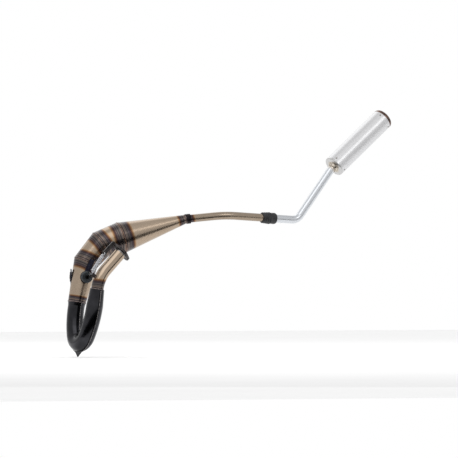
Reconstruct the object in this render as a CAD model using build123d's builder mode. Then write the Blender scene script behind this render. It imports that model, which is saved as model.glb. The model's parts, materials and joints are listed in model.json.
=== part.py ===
from build123d import *
import os
from math import cos, radians, sin

# Expansion-chamber exhaust of a small two-stroke racing machine, in millimetres.
# +X runs to the rear of the machine, +Y to its far side, +Z up. The origin is the
# centre of the gasket face of the cylinder flange. The gas leaves the flange
# forwards and down, turns through the U-bend, swells through the belly, narrows in
# the tail cone and goes through the stinger and a rubber coupler to the silencer.

# ---------------------------------------------------------------- fits
running_fit = 0.05
seal_fit = 0.02
rest_gap = 0.3

# ---------------------------------------------------------------- cylinder flange
flange_slope = 45.0
flange_thickness = 8.0
flange_bolt_spacing = 46.0
flange_bolt_hole_radius = 3.3
flange_ear_radius = 8.0
flange_waist_step = 2.5
flange_edge_round = 1.2

# ---------------------------------------------------------------- slip joint
spigot_bore_radius = 13.0
spigot_length = 40.0
shoulder_length = 4.0
seal_cord_radius = 0.95
seal_groove_width = 2.4
seal_first = 22.0
seal_spacing = 8.0
seal_count = 2

# ---------------------------------------------------------------- header tube
header_radius = 17.5
header_wall = 1.5
header_straight = 72.5
header_bend_radius = 100.0
header_bend = 35.0
header_leg = 5.5
header_into_bend = 6.0
collar_step = 3.0

# ---------------------------------------------------------------- springs, tabs and lugs
spring_angles = (0.0, 120.0)
tab_thickness = 3.0
tab_hole_along = 42.7
tab_hole_out = 36.3
tab_hole_radius = 2.4
tab_width = 11.0
tab_bite = 1.5
lug_turn = 19.0
lug_hole_out = 32.3
lug_bite = 1.0
spring_radius = 6.0
spring_wire_radius = 0.9
spring_loop_radius = 4.5

# ---------------------------------------------------------------- U-bend
bend_wall = 1.2
bend_inlet_step = 2.5
bend_inlet_radius = header_radius + bend_inlet_step
bend_radius = 23.5
bend_outlet_radius = 25.0
bend_half_width = 52.0
bend_bottom_radius = 36.0
bend_side_turn = 26.0
bend_near_leg = 44.0
bend_far_leg = 10.6
seam_lip = 3.2
seam_lip_thickness = 1.2
keel_depth = 13.0
keel_spread = 20.0

# ---------------------------------------------------------------- chamber cones
sheet = 1.0
rising_length = 116.0
rising_heading = 17.1
rising_climb = 72.2
lower_belly_length = 66.7
lower_belly_heading = -15.3
lower_belly_climb = 49.2
upper_belly_length = 61.0
upper_belly_heading = -15.0
upper_belly_climb = 18.1
tail_length = 193.5
tail_heading = -14.9
tail_climb = 15.6
rising_top_radius = 35.0
belly_radius = 39.5
widest_radius = 44.0
tail_end_radius = 12.2

# ---------------------------------------------------------------- stinger
stinger_radius = 11.0
stinger_wall = 1.5
stinger_lead = 114.3
stinger_lead_heading = -14.8
stinger_lead_climb = 5.5
stinger_run = 122.0
stinger_run_heading = 2.85
stinger_run_climb = -3.2
stinger_bend_radius = 220.0
stinger_collar_length = 13.0
stinger_collar_radius = 13.8

# ---------------------------------------------------------------- rubber coupler
coupler_length = 45.0
coupler_front_wall = 3.0
coupler_rear_wall = 5.0
coupler_rib_wall = 4.2
coupler_rib_width = 3.0
coupler_rib_pitch = 7.0
coupler_rib_count = 4
coupler_rib_growth = 0.5
coupler_front_chamfer = 1.0
coupler_grip = 18.0
coupler_pipe_gap = 8.0

# ---------------------------------------------------------------- link pipe
link_radius = 11.0
link_wall = 1.5
link_run = 119.7
link_rise = 180.0
link_climb = 52.1
link_heading = 0.0
link_elbow_radius = 34.0
link_end_bend_radius = 40.0
link_end_length = 12.0
link_into_cap = 5.0

# ---------------------------------------------------------------- silencer
silencer_heading = 5.65
silencer_climb = 38.5
silencer_length = 226.0
sleeve_radius = 30.0
sleeve_wall = 1.2
inlet_rim = 5.0
inlet_rim_round = 2.4
outlet_rim = 12.0
outlet_rim_round = 9.0
cap_plate = 3.0
cap_skirt = 14.0
cap_skirt_wall = 1.6
boss_wall = 4.0
boss_length = 6.0
boss_neck = 1.5
rivet_count = 4
rivet_head_radius = 2.8
rivet_head_height = 1.1
rivet_shank_radius = 1.6
rivet_inset = 7.0
rivet_first_angle = 45.0
core_wall = 1.0
core_hole_radius = 2.0
core_hole_rows = 9
core_holes_round = 6
packing_gap = 0.4
tip_wall = 1.5
tip_stand_out = 2.0

# ---------------------------------------------------------------- frame bracket
bracket_along = 74.0
bracket_heading = 150.0
bracket_plate = 3.0
bracket_bite = 0.8
bracket_height = 45.0
bracket_hole_back = 44.0
bracket_front = 10.0
bracket_ear_radius = 16.0
grommet_neck_radius = 10.0
grommet_lip_radius = 14.0
grommet_lip = 2.5
grommet_edge = 1.0
bracket_sleeve_radius = 6.0
bracket_sleeve_bore_radius = 4.2
bracket_sleeve_proud = 1.0

# ---------------------------------------------------------------- rubber bobbin mount
bobbin_along = 74.0
bobbin_heading = -104.0
bobbin_post_radius = 9.0
bobbin_cup_out = 36.0
bobbin_cup_radius = 17.0
bobbin_cup_plate = 3.0
bobbin_radius = 16.5
bobbin_length = 13.0
bobbin_groove = 1.2
bobbin_edge = 1.0
bobbin_insert_radius = 5.5
bobbin_insert_depth = 10.0
bobbin_thread_radius = 3.4
bobbin_thread_depth = 9.0
brace_width = 14.0
brace_thickness = 3.0
brace_belly_along = 21.0


# ================================================================ directions and planes
def pointing(heading, climb):
    """Unit vector at a heading from +X in plan and a climb above the horizontal."""
    flat = cos(radians(climb))
    return Vector(flat * cos(radians(heading)), flat * sin(radians(heading)), sin(radians(climb)))


def across(axis, guide):
    """Unit vector square to an axis and as near as possible to a guide."""
    return (guide - axis * guide.dot(axis)).normalized()


def square_plane(point, axis, guide):
    """Plane square to an axis at a point, with its x towards the guide."""
    return Plane(origin=point, x_dir=across(axis, guide), z_dir=axis)


def mitre_plane(point, before, after):
    """Plane that shares a corner equally between the tubes before and after it."""
    return square_plane(point, (before + after).normalized(), far_side)


def profile_plane(point, axis, guide):
    """Plane for a turned profile: x is the radius and y runs along the axis."""
    radial = across(axis, guide)
    return Plane(origin=point, x_dir=radial, z_dir=radial.cross(axis))


def save(part, name):
    """Label a finished piece and write it to its own file."""
    part.label = name
    export_step(part, f"parts/{name}.step")


os.makedirs("parts", exist_ok=True)
far_side = Vector(0, 1, 0)
upwards = Vector(0, 0, 1)

# ================================================================ centreline
flow = pointing(180.0, -flange_slope)
below = pointing(0.0, flange_slope - 90.0)
above = below * -1


def header_direction(turn):
    """Gas direction in the header after it has turned by an angle."""
    return flow * cos(radians(turn)) + below * sin(radians(turn))


def header_outside(turn):
    """Direction away from the centre of the header's bend after a turn."""
    return above * cos(radians(turn)) + flow * sin(radians(turn))


header_bend_start = flow * header_straight
header_bend_centre = header_bend_start + below * header_bend_radius


def header_point(turn):
    """Point on the header's bent centreline after a turn."""
    return header_bend_centre + header_outside(turn) * header_bend_radius


leg_down = header_direction(header_bend)
leg_front = header_outside(header_bend)
bend_top = header_point(header_bend) + leg_down * header_leg

side_turn = radians(bend_side_turn)
bend_side_radius = (bend_half_width - bend_bottom_radius * cos(side_turn)) / (1 - cos(side_turn))


def bend_point(out, down):
    """Point in the plane of the U-bend, out from the near leg and down from its top."""
    return bend_top + far_side * out + leg_down * down


far_leg_top = bend_point(2 * bend_half_width, bend_near_leg - bend_far_leg)
rising = pointing(rising_heading, rising_climb)
lower_belly = pointing(lower_belly_heading, lower_belly_climb)
upper_belly = pointing(upper_belly_heading, upper_belly_climb)
tail = pointing(tail_heading, tail_climb)
stinger_first = pointing(stinger_lead_heading, stinger_lead_climb)
stinger_last = pointing(stinger_run_heading, stinger_run_climb)
link_up = pointing(link_heading, link_climb)
silencer_axis = pointing(silencer_heading, silencer_climb)

rising_top = far_leg_top + rising * rising_length
lower_belly_top = rising_top + lower_belly * lower_belly_length
widest_point = lower_belly_top + upper_belly * upper_belly_length
tail_end = widest_point + tail * tail_length
stinger_corner = tail_end + stinger_first * stinger_lead
coupler_start = stinger_corner + stinger_last * stinger_run
link_corner = coupler_start + stinger_last * link_run
link_end_corner = link_corner + link_up * link_rise
cap_face = link_end_corner + silencer_axis * link_end_length
silencer_end = cap_face + silencer_axis * silencer_length

# ================================================================ slip joint
header_bore_radius = header_radius - header_wall
spigot_radius = header_bore_radius - running_fit
seal_groove_radius = header_bore_radius - 2 * seal_cord_radius - 2 * seal_fit
header_start = flange_thickness + shoulder_length
flange_plane = Plane(origin=(0, 0, 0), x_dir=above, z_dir=flow)
bolt_circle = flange_bolt_spacing / 2
flange_waist_radius = header_radius + flange_waist_step


def flange_blank():
    """Flange plate with no holes: two ears run into a round waist."""
    with BuildPart() as blank:
        with BuildSketch(flange_plane):
            with Locations((-bolt_circle, 0), (bolt_circle, 0)):
                Circle(flange_ear_radius)
            Circle(flange_waist_radius)
            make_hull()
        extrude(amount=flange_thickness)
    return blank.part


with BuildPart() as cylinder_flange:
    add(flange_blank())
    chamfer(cylinder_flange.faces().sort_by(Axis((0, 0, 0), flow))[-1].edges(), flange_edge_round)
    with BuildSketch(flange_plane):
        Circle(spigot_radius)
        with Locations((-bolt_circle, 0), (bolt_circle, 0)):
            Circle(flange_bolt_hole_radius)
    extrude(amount=flange_thickness, mode=Mode.SUBTRACT)
save(cylinder_flange.part, "cylinder_flange")

with BuildPart() as flange_spigot:
    with BuildSketch(profile_plane(Vector(0, 0, 0), flow, above)):
        with BuildLine():
            Polyline(
                (spigot_bore_radius, 0),
                (spigot_radius, 0),
                (spigot_radius, flange_thickness),
                (header_radius, flange_thickness),
                (header_radius, header_start),
                (spigot_radius, header_start),
                (spigot_radius, spigot_length),
                (spigot_bore_radius, spigot_length),
                close=True,
            )
        make_face()
        for number in range(seal_count):
            middle = seal_first + number * seal_spacing
            with BuildLine():
                Polyline(
                    (seal_groove_radius, middle - seal_groove_width / 2),
                    (header_radius, middle - seal_groove_width / 2),
                    (header_radius, middle + seal_groove_width / 2),
                    (seal_groove_radius, middle + seal_groove_width / 2),
                    close=True,
                )
            make_face(mode=Mode.SUBTRACT)
    revolve(axis=Axis((0, 0, 0), flow))
save(flange_spigot.part, "flange_spigot")

with BuildPart() as slip_joint_seals:
    with BuildSketch(profile_plane(Vector(0, 0, 0), flow, above)):
        for number in range(seal_count):
            with Locations((seal_groove_radius + seal_fit + seal_cord_radius, seal_first + number * seal_spacing)):
                Circle(seal_cord_radius)
    revolve(axis=Axis((0, 0, 0), flow))
save(slip_joint_seals.part, "slip_joint_seals")

# ================================================================ header tube
with BuildPart() as header_tube:
    with BuildLine():
        Line(flow * header_start, header_bend_start)
        bend = ThreePointArc(header_bend_start, header_point(header_bend / 2), header_point(header_bend))
        Line(bend @ 1, bend_top + leg_down * header_into_bend)
    with BuildSketch(square_plane(flow * header_start, flow, above)):
        Circle(header_radius)
        Circle(header_bore_radius, mode=Mode.SUBTRACT)
    sweep()
save(header_tube.part, "header_tube")

bend_inlet_bore = bend_inlet_radius - bend_wall
with BuildPart() as header_collar:
    with BuildSketch(square_plane(bend_top, leg_down * -1, far_side)):
        Circle(bend_inlet_radius)
        Circle(header_radius, mode=Mode.SUBTRACT)
    extrude(amount=collar_step)
    with BuildSketch(square_plane(bend_top, leg_down, far_side)):
        Circle(bend_inlet_bore)
        Circle(header_radius, mode=Mode.SUBTRACT)
    extrude(amount=header_into_bend)
save(header_collar.part, "header_collar")


# ================================================================ springs, tabs and lugs
def around_header(turn, angle):
    """Direction out from the header at an angle round it, from its outer side to its far side."""
    return header_outside(turn) * cos(radians(angle)) + far_side * sin(radians(angle))


def tab_hole(angle):
    """Centre of the upper spring hole at an angle round the header."""
    return flow * tab_hole_along + around_header(0, angle) * tab_hole_out


def lug_hole(angle):
    """Centre of the lower spring hole at an angle round the header."""
    return header_point(lug_turn) + around_header(lug_turn, angle) * lug_hole_out


def flange_reach(angle):
    """How far the flange reaches from its centre in the direction of a spring: at least its waist, up to its ear."""
    ear_reach = bolt_circle * cos(radians(angle)) + flange_ear_radius
    return max(flange_waist_radius, ear_reach)


def ear_plate(inner, outer, out, along):
    """Flat plate from a root to the hole that a spring hooks into, centred on its own middle plane."""
    normal = out.cross(along).normalized()
    middle = Plane(origin=inner, x_dir=(outer - inner).normalized(), z_dir=normal)
    with BuildPart() as plate:
        with BuildSketch(middle.offset(-tab_thickness / 2)):
            with Locations(((outer - inner).length / 2, 0)):
                SlotCenterToCenter((outer - inner).length, tab_width)
            with Locations(((outer - inner).length, 0)):
                Circle(tab_hole_radius, mode=Mode.SUBTRACT)
        extrude(amount=tab_thickness)
    return plate.part


with BuildPart() as spring_tabs:
    for angle in spring_angles:
        out = around_header(0, angle)
        root = flow * (flange_thickness / 2) + out * (flange_reach(angle) + tab_width / 2 - tab_bite)
        add(ear_plate(root, tab_hole(angle), out, flow))
    with BuildSketch(flange_plane.offset(-tab_width)):
        Circle(bolt_circle + tab_hole_out)
    extrude(amount=tab_width, mode=Mode.SUBTRACT)
    add(flange_blank(), mode=Mode.SUBTRACT)
save(spring_tabs.part, "spring_tabs")

with BuildPart() as header_lugs:
    for angle in spring_angles:
        out = around_header(lug_turn, angle)
        root = header_point(lug_turn) + out * (header_radius + tab_width / 2 - lug_bite)
        add(ear_plate(root, lug_hole(angle), out, header_direction(lug_turn)))
    with BuildLine():
        Line(flow * header_start, header_bend_start)
        ThreePointArc(header_bend_start, header_point(header_bend / 2), header_point(header_bend))
    with BuildSketch(square_plane(flow * header_start, flow, above)):
        Circle(header_radius)
    sweep(mode=Mode.SUBTRACT)
save(header_lugs.part, "header_lugs")

for number, angle in enumerate(spring_angles):
    upper = tab_hole(angle)
    lower = lug_hole(angle)
    pull = (lower - upper).normalized()
    coil_start = upper + pull * 2 * spring_loop_radius
    coil_end = lower - pull * 2 * spring_loop_radius
    turn_normal = around_header(0, angle).cross(pull).normalized()
    with BuildPart() as tension_spring:
        with BuildSketch(square_plane(coil_start, pull, turn_normal)):
            Circle(spring_radius)
        extrude(amount=(coil_end - coil_start).length)
        for anchor, inward in ((upper, pull), (lower, pull * -1)):
            loop_centre = anchor + inward * spring_loop_radius
            with BuildSketch(Plane(origin=loop_centre, x_dir=inward, z_dir=pull.cross(turn_normal).cross(inward))):
                with Locations((-spring_loop_radius, 0)):
                    Circle(spring_wire_radius)
            revolve(axis=Axis(loop_centre, pull.cross(turn_normal)))
    save(tension_spring.part, f"tension_spring_{number + 1}")

# ================================================================ U-bend
def half_bend_section(radius, side):
    """Half ring with a seam lip at each end, for one pressed half of the U-bend."""
    shoulder = (radius**2 - seam_lip_thickness**2) ** 0.5
    bore = radius - bend_wall
    with BuildSketch() as section:
        with BuildLine():
            Polyline(
                (0, bore),
                (0, radius + seam_lip),
                (seam_lip_thickness, radius + seam_lip),
                (seam_lip_thickness, shoulder),
            )
            ThreePointArc((seam_lip_thickness, shoulder), (radius, 0), (seam_lip_thickness, -shoulder))
            Polyline(
                (seam_lip_thickness, -shoulder),
                (seam_lip_thickness, -radius - seam_lip),
                (0, -radius - seam_lip),
                (0, -bore),
            )
            ThreePointArc((0, -bore), (bore, 0), (0, bore))
        make_face()
    return section.sketch


def side_arc_point(turn):
    """Point on the near side arc of the U-bend after a turn."""
    out = bend_side_radius * (1 - cos(turn))
    return out, bend_near_leg + bend_side_radius * sin(turn)


near_arc_end = side_arc_point(side_turn)
near_arc_middle = side_arc_point(side_turn / 2)
bend_arch_centre_down = near_arc_end[1] - bend_bottom_radius * sin(side_turn)
bend_lowest_down = bend_arch_centre_down + bend_bottom_radius
keel_plane = Plane(
    origin=bend_point(bend_half_width, bend_arch_centre_down), x_dir=far_side, z_dir=far_side.cross(leg_down)
)
keel_root = bend_bottom_radius + bend_radius + seam_lip / 2
keel_corner = Vector(keel_root * sin(radians(keel_spread)), keel_root * cos(radians(keel_spread)))


def mirrored(point):
    """The same point on the far side of the U-bend."""
    return 2 * bend_half_width - point[0], point[1]


for side, name in ((1, "u_bend_front_half"), (-1, "u_bend_rear_half")):
    with BuildPart() as bend_half:
        for out, down, radius in ((0, 0, bend_inlet_radius), (0, bend_near_leg, bend_radius)):
            with BuildSketch(square_plane(bend_point(out, down), leg_down, leg_front * side)):
                add(half_bend_section(radius, side))
        loft()
        with BuildLine():
            ThreePointArc(
                bend_point(0, bend_near_leg), bend_point(*near_arc_middle), bend_point(*near_arc_end)
            )
            ThreePointArc(
                bend_point(*near_arc_end),
                bend_point(bend_half_width, bend_lowest_down),
                bend_point(*mirrored(near_arc_end)),
            )
            ThreePointArc(
                bend_point(*mirrored(near_arc_end)),
                bend_point(*mirrored(near_arc_middle)),
                bend_point(2 * bend_half_width, bend_near_leg),
            )
        with BuildSketch(square_plane(bend_point(0, bend_near_leg), leg_down, leg_front * side)):
            add(half_bend_section(bend_radius, side))
        sweep()
        for down, radius in ((bend_near_leg, bend_radius), (bend_near_leg - bend_far_leg, bend_outlet_radius)):
            with BuildSketch(square_plane(bend_point(2 * bend_half_width, down), leg_down * -1, leg_front * side)):
                add(half_bend_section(radius, side))
        loft()
        with BuildSketch(keel_plane):
            with BuildLine():
                keel_edge = ThreePointArc(
                    (-keel_corner.X, keel_corner.Y), (0, keel_root), (keel_corner.X, keel_corner.Y)
                )
                Polyline(keel_edge @ 0, (0, keel_root + keel_depth), keel_edge @ 1)
            make_face()
        extrude(amount=side * seam_lip_thickness * keel_plane.z_dir.dot(leg_front))
    save(bend_half.part, name)


# ================================================================ chamber cones
def cone_blank(start, end, start_radius, end_radius):
    """Solid cone between two planes."""
    with BuildPart() as blank:
        with BuildSketch(start):
            Circle(start_radius)
        with BuildSketch(end):
            Circle(end_radius)
        loft()
    return blank.part


bend_end_plane = square_plane(far_leg_top, leg_down * -1, far_side)
rising_top_plane = mitre_plane(rising_top, rising, lower_belly)
lower_belly_top_plane = mitre_plane(lower_belly_top, lower_belly, upper_belly)
widest_plane = mitre_plane(widest_point, upper_belly, tail)
tail_end_plane = square_plane(tail_end, tail, far_side)
chamber_cones = {
    "rising_cone": (bend_end_plane, rising_top_plane, bend_outlet_radius, rising_top_radius),
    "lower_belly_cone": (rising_top_plane, lower_belly_top_plane, rising_top_radius, belly_radius),
    "upper_belly_cone": (lower_belly_top_plane, widest_plane, belly_radius, widest_radius),
    "tail_cone": (widest_plane, tail_end_plane, widest_radius, tail_end_radius),
}
for name, (start, end, start_radius, end_radius) in chamber_cones.items():
    with BuildPart() as cone:
        add(cone_blank(start, end, start_radius, end_radius))
        add(cone_blank(start, end, start_radius - sheet, end_radius - sheet), mode=Mode.SUBTRACT)
    save(cone.part, name)

# ================================================================ stinger
stinger_end = coupler_start + stinger_last * coupler_grip
stinger_bore_radius = stinger_radius - stinger_wall
with BuildPart() as stinger_tube:
    with BuildLine():
        FilletPolyline(tail_end, stinger_corner, stinger_end, radius=stinger_bend_radius)
    with BuildSketch(square_plane(tail_end, stinger_first, far_side)):
        Circle(stinger_radius)
        Circle(stinger_bore_radius, mode=Mode.SUBTRACT)
    sweep()
    with BuildSketch(tail_end_plane):
        Circle(2 * tail_end_radius)
    extrude(amount=-tail_end_radius, mode=Mode.SUBTRACT)
save(stinger_tube.part, "stinger_tube")

with BuildPart() as stinger_collar:
    with BuildSketch(square_plane(tail_end, stinger_first, far_side)):
        Circle(stinger_collar_radius)
        Circle(stinger_radius, mode=Mode.SUBTRACT)
    extrude(amount=stinger_collar_length)
    with BuildSketch(tail_end_plane):
        Circle(2 * stinger_collar_radius)
    extrude(amount=-2 * stinger_collar_radius, mode=Mode.SUBTRACT)
save(stinger_collar.part, "stinger_collar")

# ================================================================ rubber coupler
coupled_radius = max(stinger_radius, link_radius)
coupler_bore_radius = coupled_radius + running_fit
coupler_front_radius = coupled_radius + coupler_front_wall
coupler_rear_radius = coupled_radius + coupler_rear_wall
with BuildPart() as rubber_coupler:
    with BuildSketch(profile_plane(coupler_start, stinger_last, upwards)):
        with BuildLine():
            Polyline(
                (coupler_bore_radius, 0),
                (coupler_front_radius - coupler_front_chamfer, 0),
                (coupler_front_radius, coupler_front_chamfer),
                (coupler_rear_radius, coupler_length - coupler_rib_width),
                (coupler_rear_radius - coupler_rib_width / 2, coupler_length),
                (coupler_bore_radius, coupler_length),
                close=True,
            )
        make_face()
        for number in range(coupler_rib_count):
            middle = coupler_rib_pitch * (number + 0.5)
            crest = coupled_radius + coupler_rib_wall + number * coupler_rib_growth
            with BuildLine():
                Polyline(
                    (coupler_bore_radius, middle - coupler_rib_width / 2),
                    (crest, middle - coupler_rib_width / 2),
                    (crest, middle + coupler_rib_width / 2),
                    (coupler_bore_radius, middle + coupler_rib_width / 2),
                    close=True,
                )
            make_face()
    revolve(axis=Axis(coupler_start, stinger_last))
save(rubber_coupler.part, "rubber_coupler")

# ================================================================ link pipe
link_start = stinger_end + stinger_last * coupler_pipe_gap
link_end = cap_face + silencer_axis * link_into_cap
with BuildPart() as link_pipe:
    with BuildLine():
        FilletPolyline(
            link_start,
            link_corner,
            link_end_corner,
            link_end,
            radius=[link_elbow_radius, link_end_bend_radius],
        )
    with BuildSketch(square_plane(link_start, stinger_last, far_side)):
        Circle(link_radius)
        Circle(link_radius - link_wall, mode=Mode.SUBTRACT)
    sweep()
save(link_pipe.part, "link_pipe")

# ================================================================ silencer
silencer_plane = square_plane(cap_face, silencer_axis, far_side)
silencer_turning = Axis(cap_face, silencer_axis)
silencer_profile = profile_plane(cap_face, silencer_axis, far_side)
sleeve_bore_radius = sleeve_radius - sleeve_wall
skirt_bore_radius = sleeve_bore_radius - cap_skirt_wall
core_radius = link_radius

with BuildPart() as inlet_boss:
    with BuildSketch(silencer_profile):
        with BuildLine():
            Polyline(
                (link_radius, -boss_length),
                (link_radius + boss_neck, -boss_length),
                (link_radius + boss_wall, 0),
                (link_radius, 0),
                close=True,
            )
        make_face()
    revolve(axis=silencer_turning)
save(inlet_boss.part, "inlet_boss")


def end_cap(face, inwards, rim, rim_round):
    """Turned end cap with a rounded rim past the sleeve's end and a skirt inside the sleeve."""
    skirt_start = face + inwards * rim
    skirt_end = skirt_start + inwards * cap_skirt
    round_centre = Vector(sleeve_radius - rim_round, face + inwards * rim_round)
    round_middle = round_centre + Vector(1, -inwards).normalized() * rim_round
    with BuildPart() as cap:
        with BuildSketch(silencer_profile):
            with BuildLine():
                edge = ThreePointArc(
                    (sleeve_radius - rim_round, face), round_middle, (sleeve_radius, face + inwards * rim_round)
                )
                Polyline(
                    edge @ 1,
                    (sleeve_radius, skirt_start),
                    (sleeve_bore_radius, skirt_start),
                    (sleeve_bore_radius, skirt_end),
                    (skirt_bore_radius, skirt_end),
                    (skirt_bore_radius, skirt_start + inwards * cap_plate),
                    (core_radius, skirt_start + inwards * cap_plate),
                    (core_radius, face),
                    edge @ 0,
                )
            make_face()
        revolve(axis=silencer_turning)
        for spot in rivet_spots(skirt_start + inwards * rivet_inset):
            with BuildSketch(spot.offset(-sleeve_radius / 2)):
                Circle(rivet_shank_radius)
            extrude(amount=sleeve_radius, mode=Mode.SUBTRACT)
    return cap.part


def rivet_spots(along):
    """Planes on the sleeve's surface, facing outwards, where rivets sit."""
    spots = []
    for number in range(rivet_count):
        angle = radians(rivet_first_angle + 360 * number / rivet_count)
        out = silencer_plane.x_dir * cos(angle) + silencer_plane.y_dir * sin(angle)
        spots.append(Plane(cap_face + silencer_axis * along + out * sleeve_radius, silencer_axis, out))
    return spots


save(end_cap(0.0, 1, inlet_rim, inlet_rim_round), "inlet_cap")
save(end_cap(silencer_length, -1, outlet_rim, outlet_rim_round), "outlet_cap")

sleeve_length = silencer_length - inlet_rim - outlet_rim
rivet_rows = {
    "inlet_rivets": inlet_rim + rivet_inset,
    "outlet_rivets": silencer_length - outlet_rim - rivet_inset,
}
with BuildPart() as silencer_sleeve:
    with BuildSketch(silencer_plane.offset(inlet_rim)):
        Circle(sleeve_radius)
        Circle(sleeve_bore_radius, mode=Mode.SUBTRACT)
    extrude(amount=sleeve_length)
    for along in rivet_rows.values():
        for spot in rivet_spots(along):
            with BuildSketch(spot.offset(-sleeve_radius / 2)):
                Circle(rivet_shank_radius)
            extrude(amount=sleeve_radius, mode=Mode.SUBTRACT)
save(silencer_sleeve.part, "silencer_sleeve")

for name, along in rivet_rows.items():
    with BuildPart() as rivets:
        for spot in rivet_spots(along):
            with BuildSketch(spot.offset(-sleeve_wall - cap_skirt_wall)):
                Circle(rivet_shank_radius)
            extrude(amount=sleeve_wall + cap_skirt_wall + rivet_head_height / 2)
            with BuildSketch(spot):
                Circle(rivet_head_radius)
            extrude(amount=rivet_head_height)
    save(rivets.part, name)

core_start = link_into_cap + rest_gap
tip_start = silencer_length - outlet_rim
packed_start = inlet_rim + cap_skirt + packing_gap
packed_length = sleeve_length - 2 * (cap_skirt + packing_gap)
with BuildPart() as perforated_core:
    with BuildSketch(silencer_plane.offset(core_start)):
        Circle(core_radius)
        Circle(core_radius - core_wall, mode=Mode.SUBTRACT)
    extrude(amount=tip_start - core_start)
    for row in range(core_hole_rows):
        along = packed_start + packed_length * (row + 0.5) / core_hole_rows
        for number in range(core_holes_round // 2):
            angle = radians(360 * (number + 0.5 * (row % 2)) / core_holes_round)
            out = silencer_plane.x_dir * cos(angle) + silencer_plane.y_dir * sin(angle)
            with BuildSketch(Plane(cap_face + silencer_axis * along, silencer_axis, out)):
                Circle(core_hole_radius)
            extrude(amount=2 * core_radius, both=True, mode=Mode.SUBTRACT)
save(perforated_core.part, "perforated_core")

with BuildPart() as packing:
    with BuildSketch(silencer_plane.offset(packed_start)):
        Circle(sleeve_bore_radius - packing_gap)
        Circle(core_radius + packing_gap, mode=Mode.SUBTRACT)
    extrude(amount=packed_length)
save(packing.part, "packing")

with BuildPart() as outlet_tip:
    with BuildSketch(silencer_plane.offset(tip_start)):
        Circle(core_radius)
        Circle(core_radius - tip_wall, mode=Mode.SUBTRACT)
    extrude(amount=outlet_rim + tip_stand_out)
save(outlet_tip.part, "outlet_tip")

# ================================================================ frame bracket
rising_blank = cone_blank(*chamber_cones["rising_cone"])
lower_belly_blank = cone_blank(*chamber_cones["lower_belly_cone"])
bracket_out = pointing(bracket_heading, 0.0)
bracket_back = bracket_out.cross(upwards)
bracket_cone_radius = bend_outlet_radius + (rising_top_radius - bend_outlet_radius) * bracket_along / rising_length
bracket_middle = far_leg_top + rising * bracket_along
bracket_inner = bracket_middle + bracket_out * (bracket_cone_radius - bracket_bite)
bracket_plane = Plane(origin=bracket_inner, x_dir=bracket_back, z_dir=bracket_out)

with BuildPart() as frame_bracket:
    with BuildSketch(bracket_plane):
        with Locations((-bracket_front + bracket_plate, 0)):
            Rectangle(2 * bracket_plate, bracket_height)
        with Locations((bracket_hole_back, 0)):
            Circle(bracket_ear_radius)
        make_hull()
        with Locations((bracket_hole_back, 0)):
            Circle(grommet_neck_radius, mode=Mode.SUBTRACT)
    extrude(amount=bracket_plate)
    add(rising_blank, mode=Mode.SUBTRACT)
save(frame_bracket.part, "frame_bracket")

grommet_centre = bracket_inner + bracket_back * bracket_hole_back
grommet_axis = Axis(grommet_centre, bracket_out)
with BuildPart() as bracket_grommet:
    with BuildSketch(profile_plane(grommet_centre, bracket_out, upwards)):
        with BuildLine():
            Polyline(
                (bracket_sleeve_radius + running_fit, -grommet_lip),
                (grommet_lip_radius - grommet_edge, -grommet_lip),
                (grommet_lip_radius, -grommet_lip + grommet_edge),
                (grommet_lip_radius, 0),
                (grommet_neck_radius, 0),
                (grommet_neck_radius, bracket_plate),
                (grommet_lip_radius, bracket_plate),
                (grommet_lip_radius, bracket_plate + grommet_lip - grommet_edge),
                (grommet_lip_radius - grommet_edge, bracket_plate + grommet_lip),
                (bracket_sleeve_radius + running_fit, bracket_plate + grommet_lip),
                close=True,
            )
        make_face()
    revolve(axis=grommet_axis)
save(bracket_grommet.part, "bracket_grommet")

sleeve_reach = grommet_lip + bracket_sleeve_proud
with BuildPart() as bracket_sleeve:
    with BuildSketch(bracket_plane.offset(-sleeve_reach)):
        with Locations((bracket_hole_back, 0)):
            Circle(bracket_sleeve_radius)
            Circle(bracket_sleeve_bore_radius, mode=Mode.SUBTRACT)
    extrude(amount=bracket_plate + 2 * sleeve_reach)
save(bracket_sleeve.part, "bracket_sleeve")

# ================================================================ rubber bobbin mount
bobbin_out = pointing(bobbin_heading, 0.0)
bobbin_foot = far_leg_top + rising * bobbin_along
bobbin_plane = Plane(origin=bobbin_foot, x_dir=bobbin_out.cross(upwards), z_dir=bobbin_out)
bobbin_start = bobbin_cup_out + bobbin_cup_plate
bobbin_end = bobbin_start + bobbin_length

with BuildPart() as bobbin_post:
    with BuildSketch(bobbin_plane.offset(bend_outlet_radius - bobbin_post_radius)):
        Circle(bobbin_post_radius)
    extrude(amount=bobbin_cup_out - bend_outlet_radius + bobbin_post_radius)
    add(rising_blank, mode=Mode.SUBTRACT)
save(bobbin_post.part, "bobbin_post")

with BuildPart() as bobbin_cup:
    with BuildSketch(bobbin_plane.offset(bobbin_cup_out)):
        Circle(bobbin_cup_radius)
    extrude(amount=bobbin_cup_plate)
save(bobbin_cup.part, "bobbin_cup")

with BuildPart() as rubber_bobbin:
    with BuildSketch(profile_plane(bobbin_foot, bobbin_out, upwards)):
        with BuildLine():
            Polyline(
                (0, bobbin_start),
                (bobbin_radius, bobbin_start),
                (bobbin_radius, bobbin_start + bobbin_length / 4),
                (bobbin_radius - bobbin_groove, bobbin_start + bobbin_length / 2),
                (bobbin_radius, bobbin_start + bobbin_length * 3 / 4),
                (bobbin_radius - bobbin_edge, bobbin_end),
                (bobbin_insert_radius, bobbin_end),
                (bobbin_insert_radius, bobbin_end - bobbin_insert_depth),
                (0, bobbin_end - bobbin_insert_depth),
                close=True,
            )
        make_face()
    revolve(axis=Axis(bobbin_foot, bobbin_out))
save(rubber_bobbin.part, "rubber_bobbin")

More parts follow.
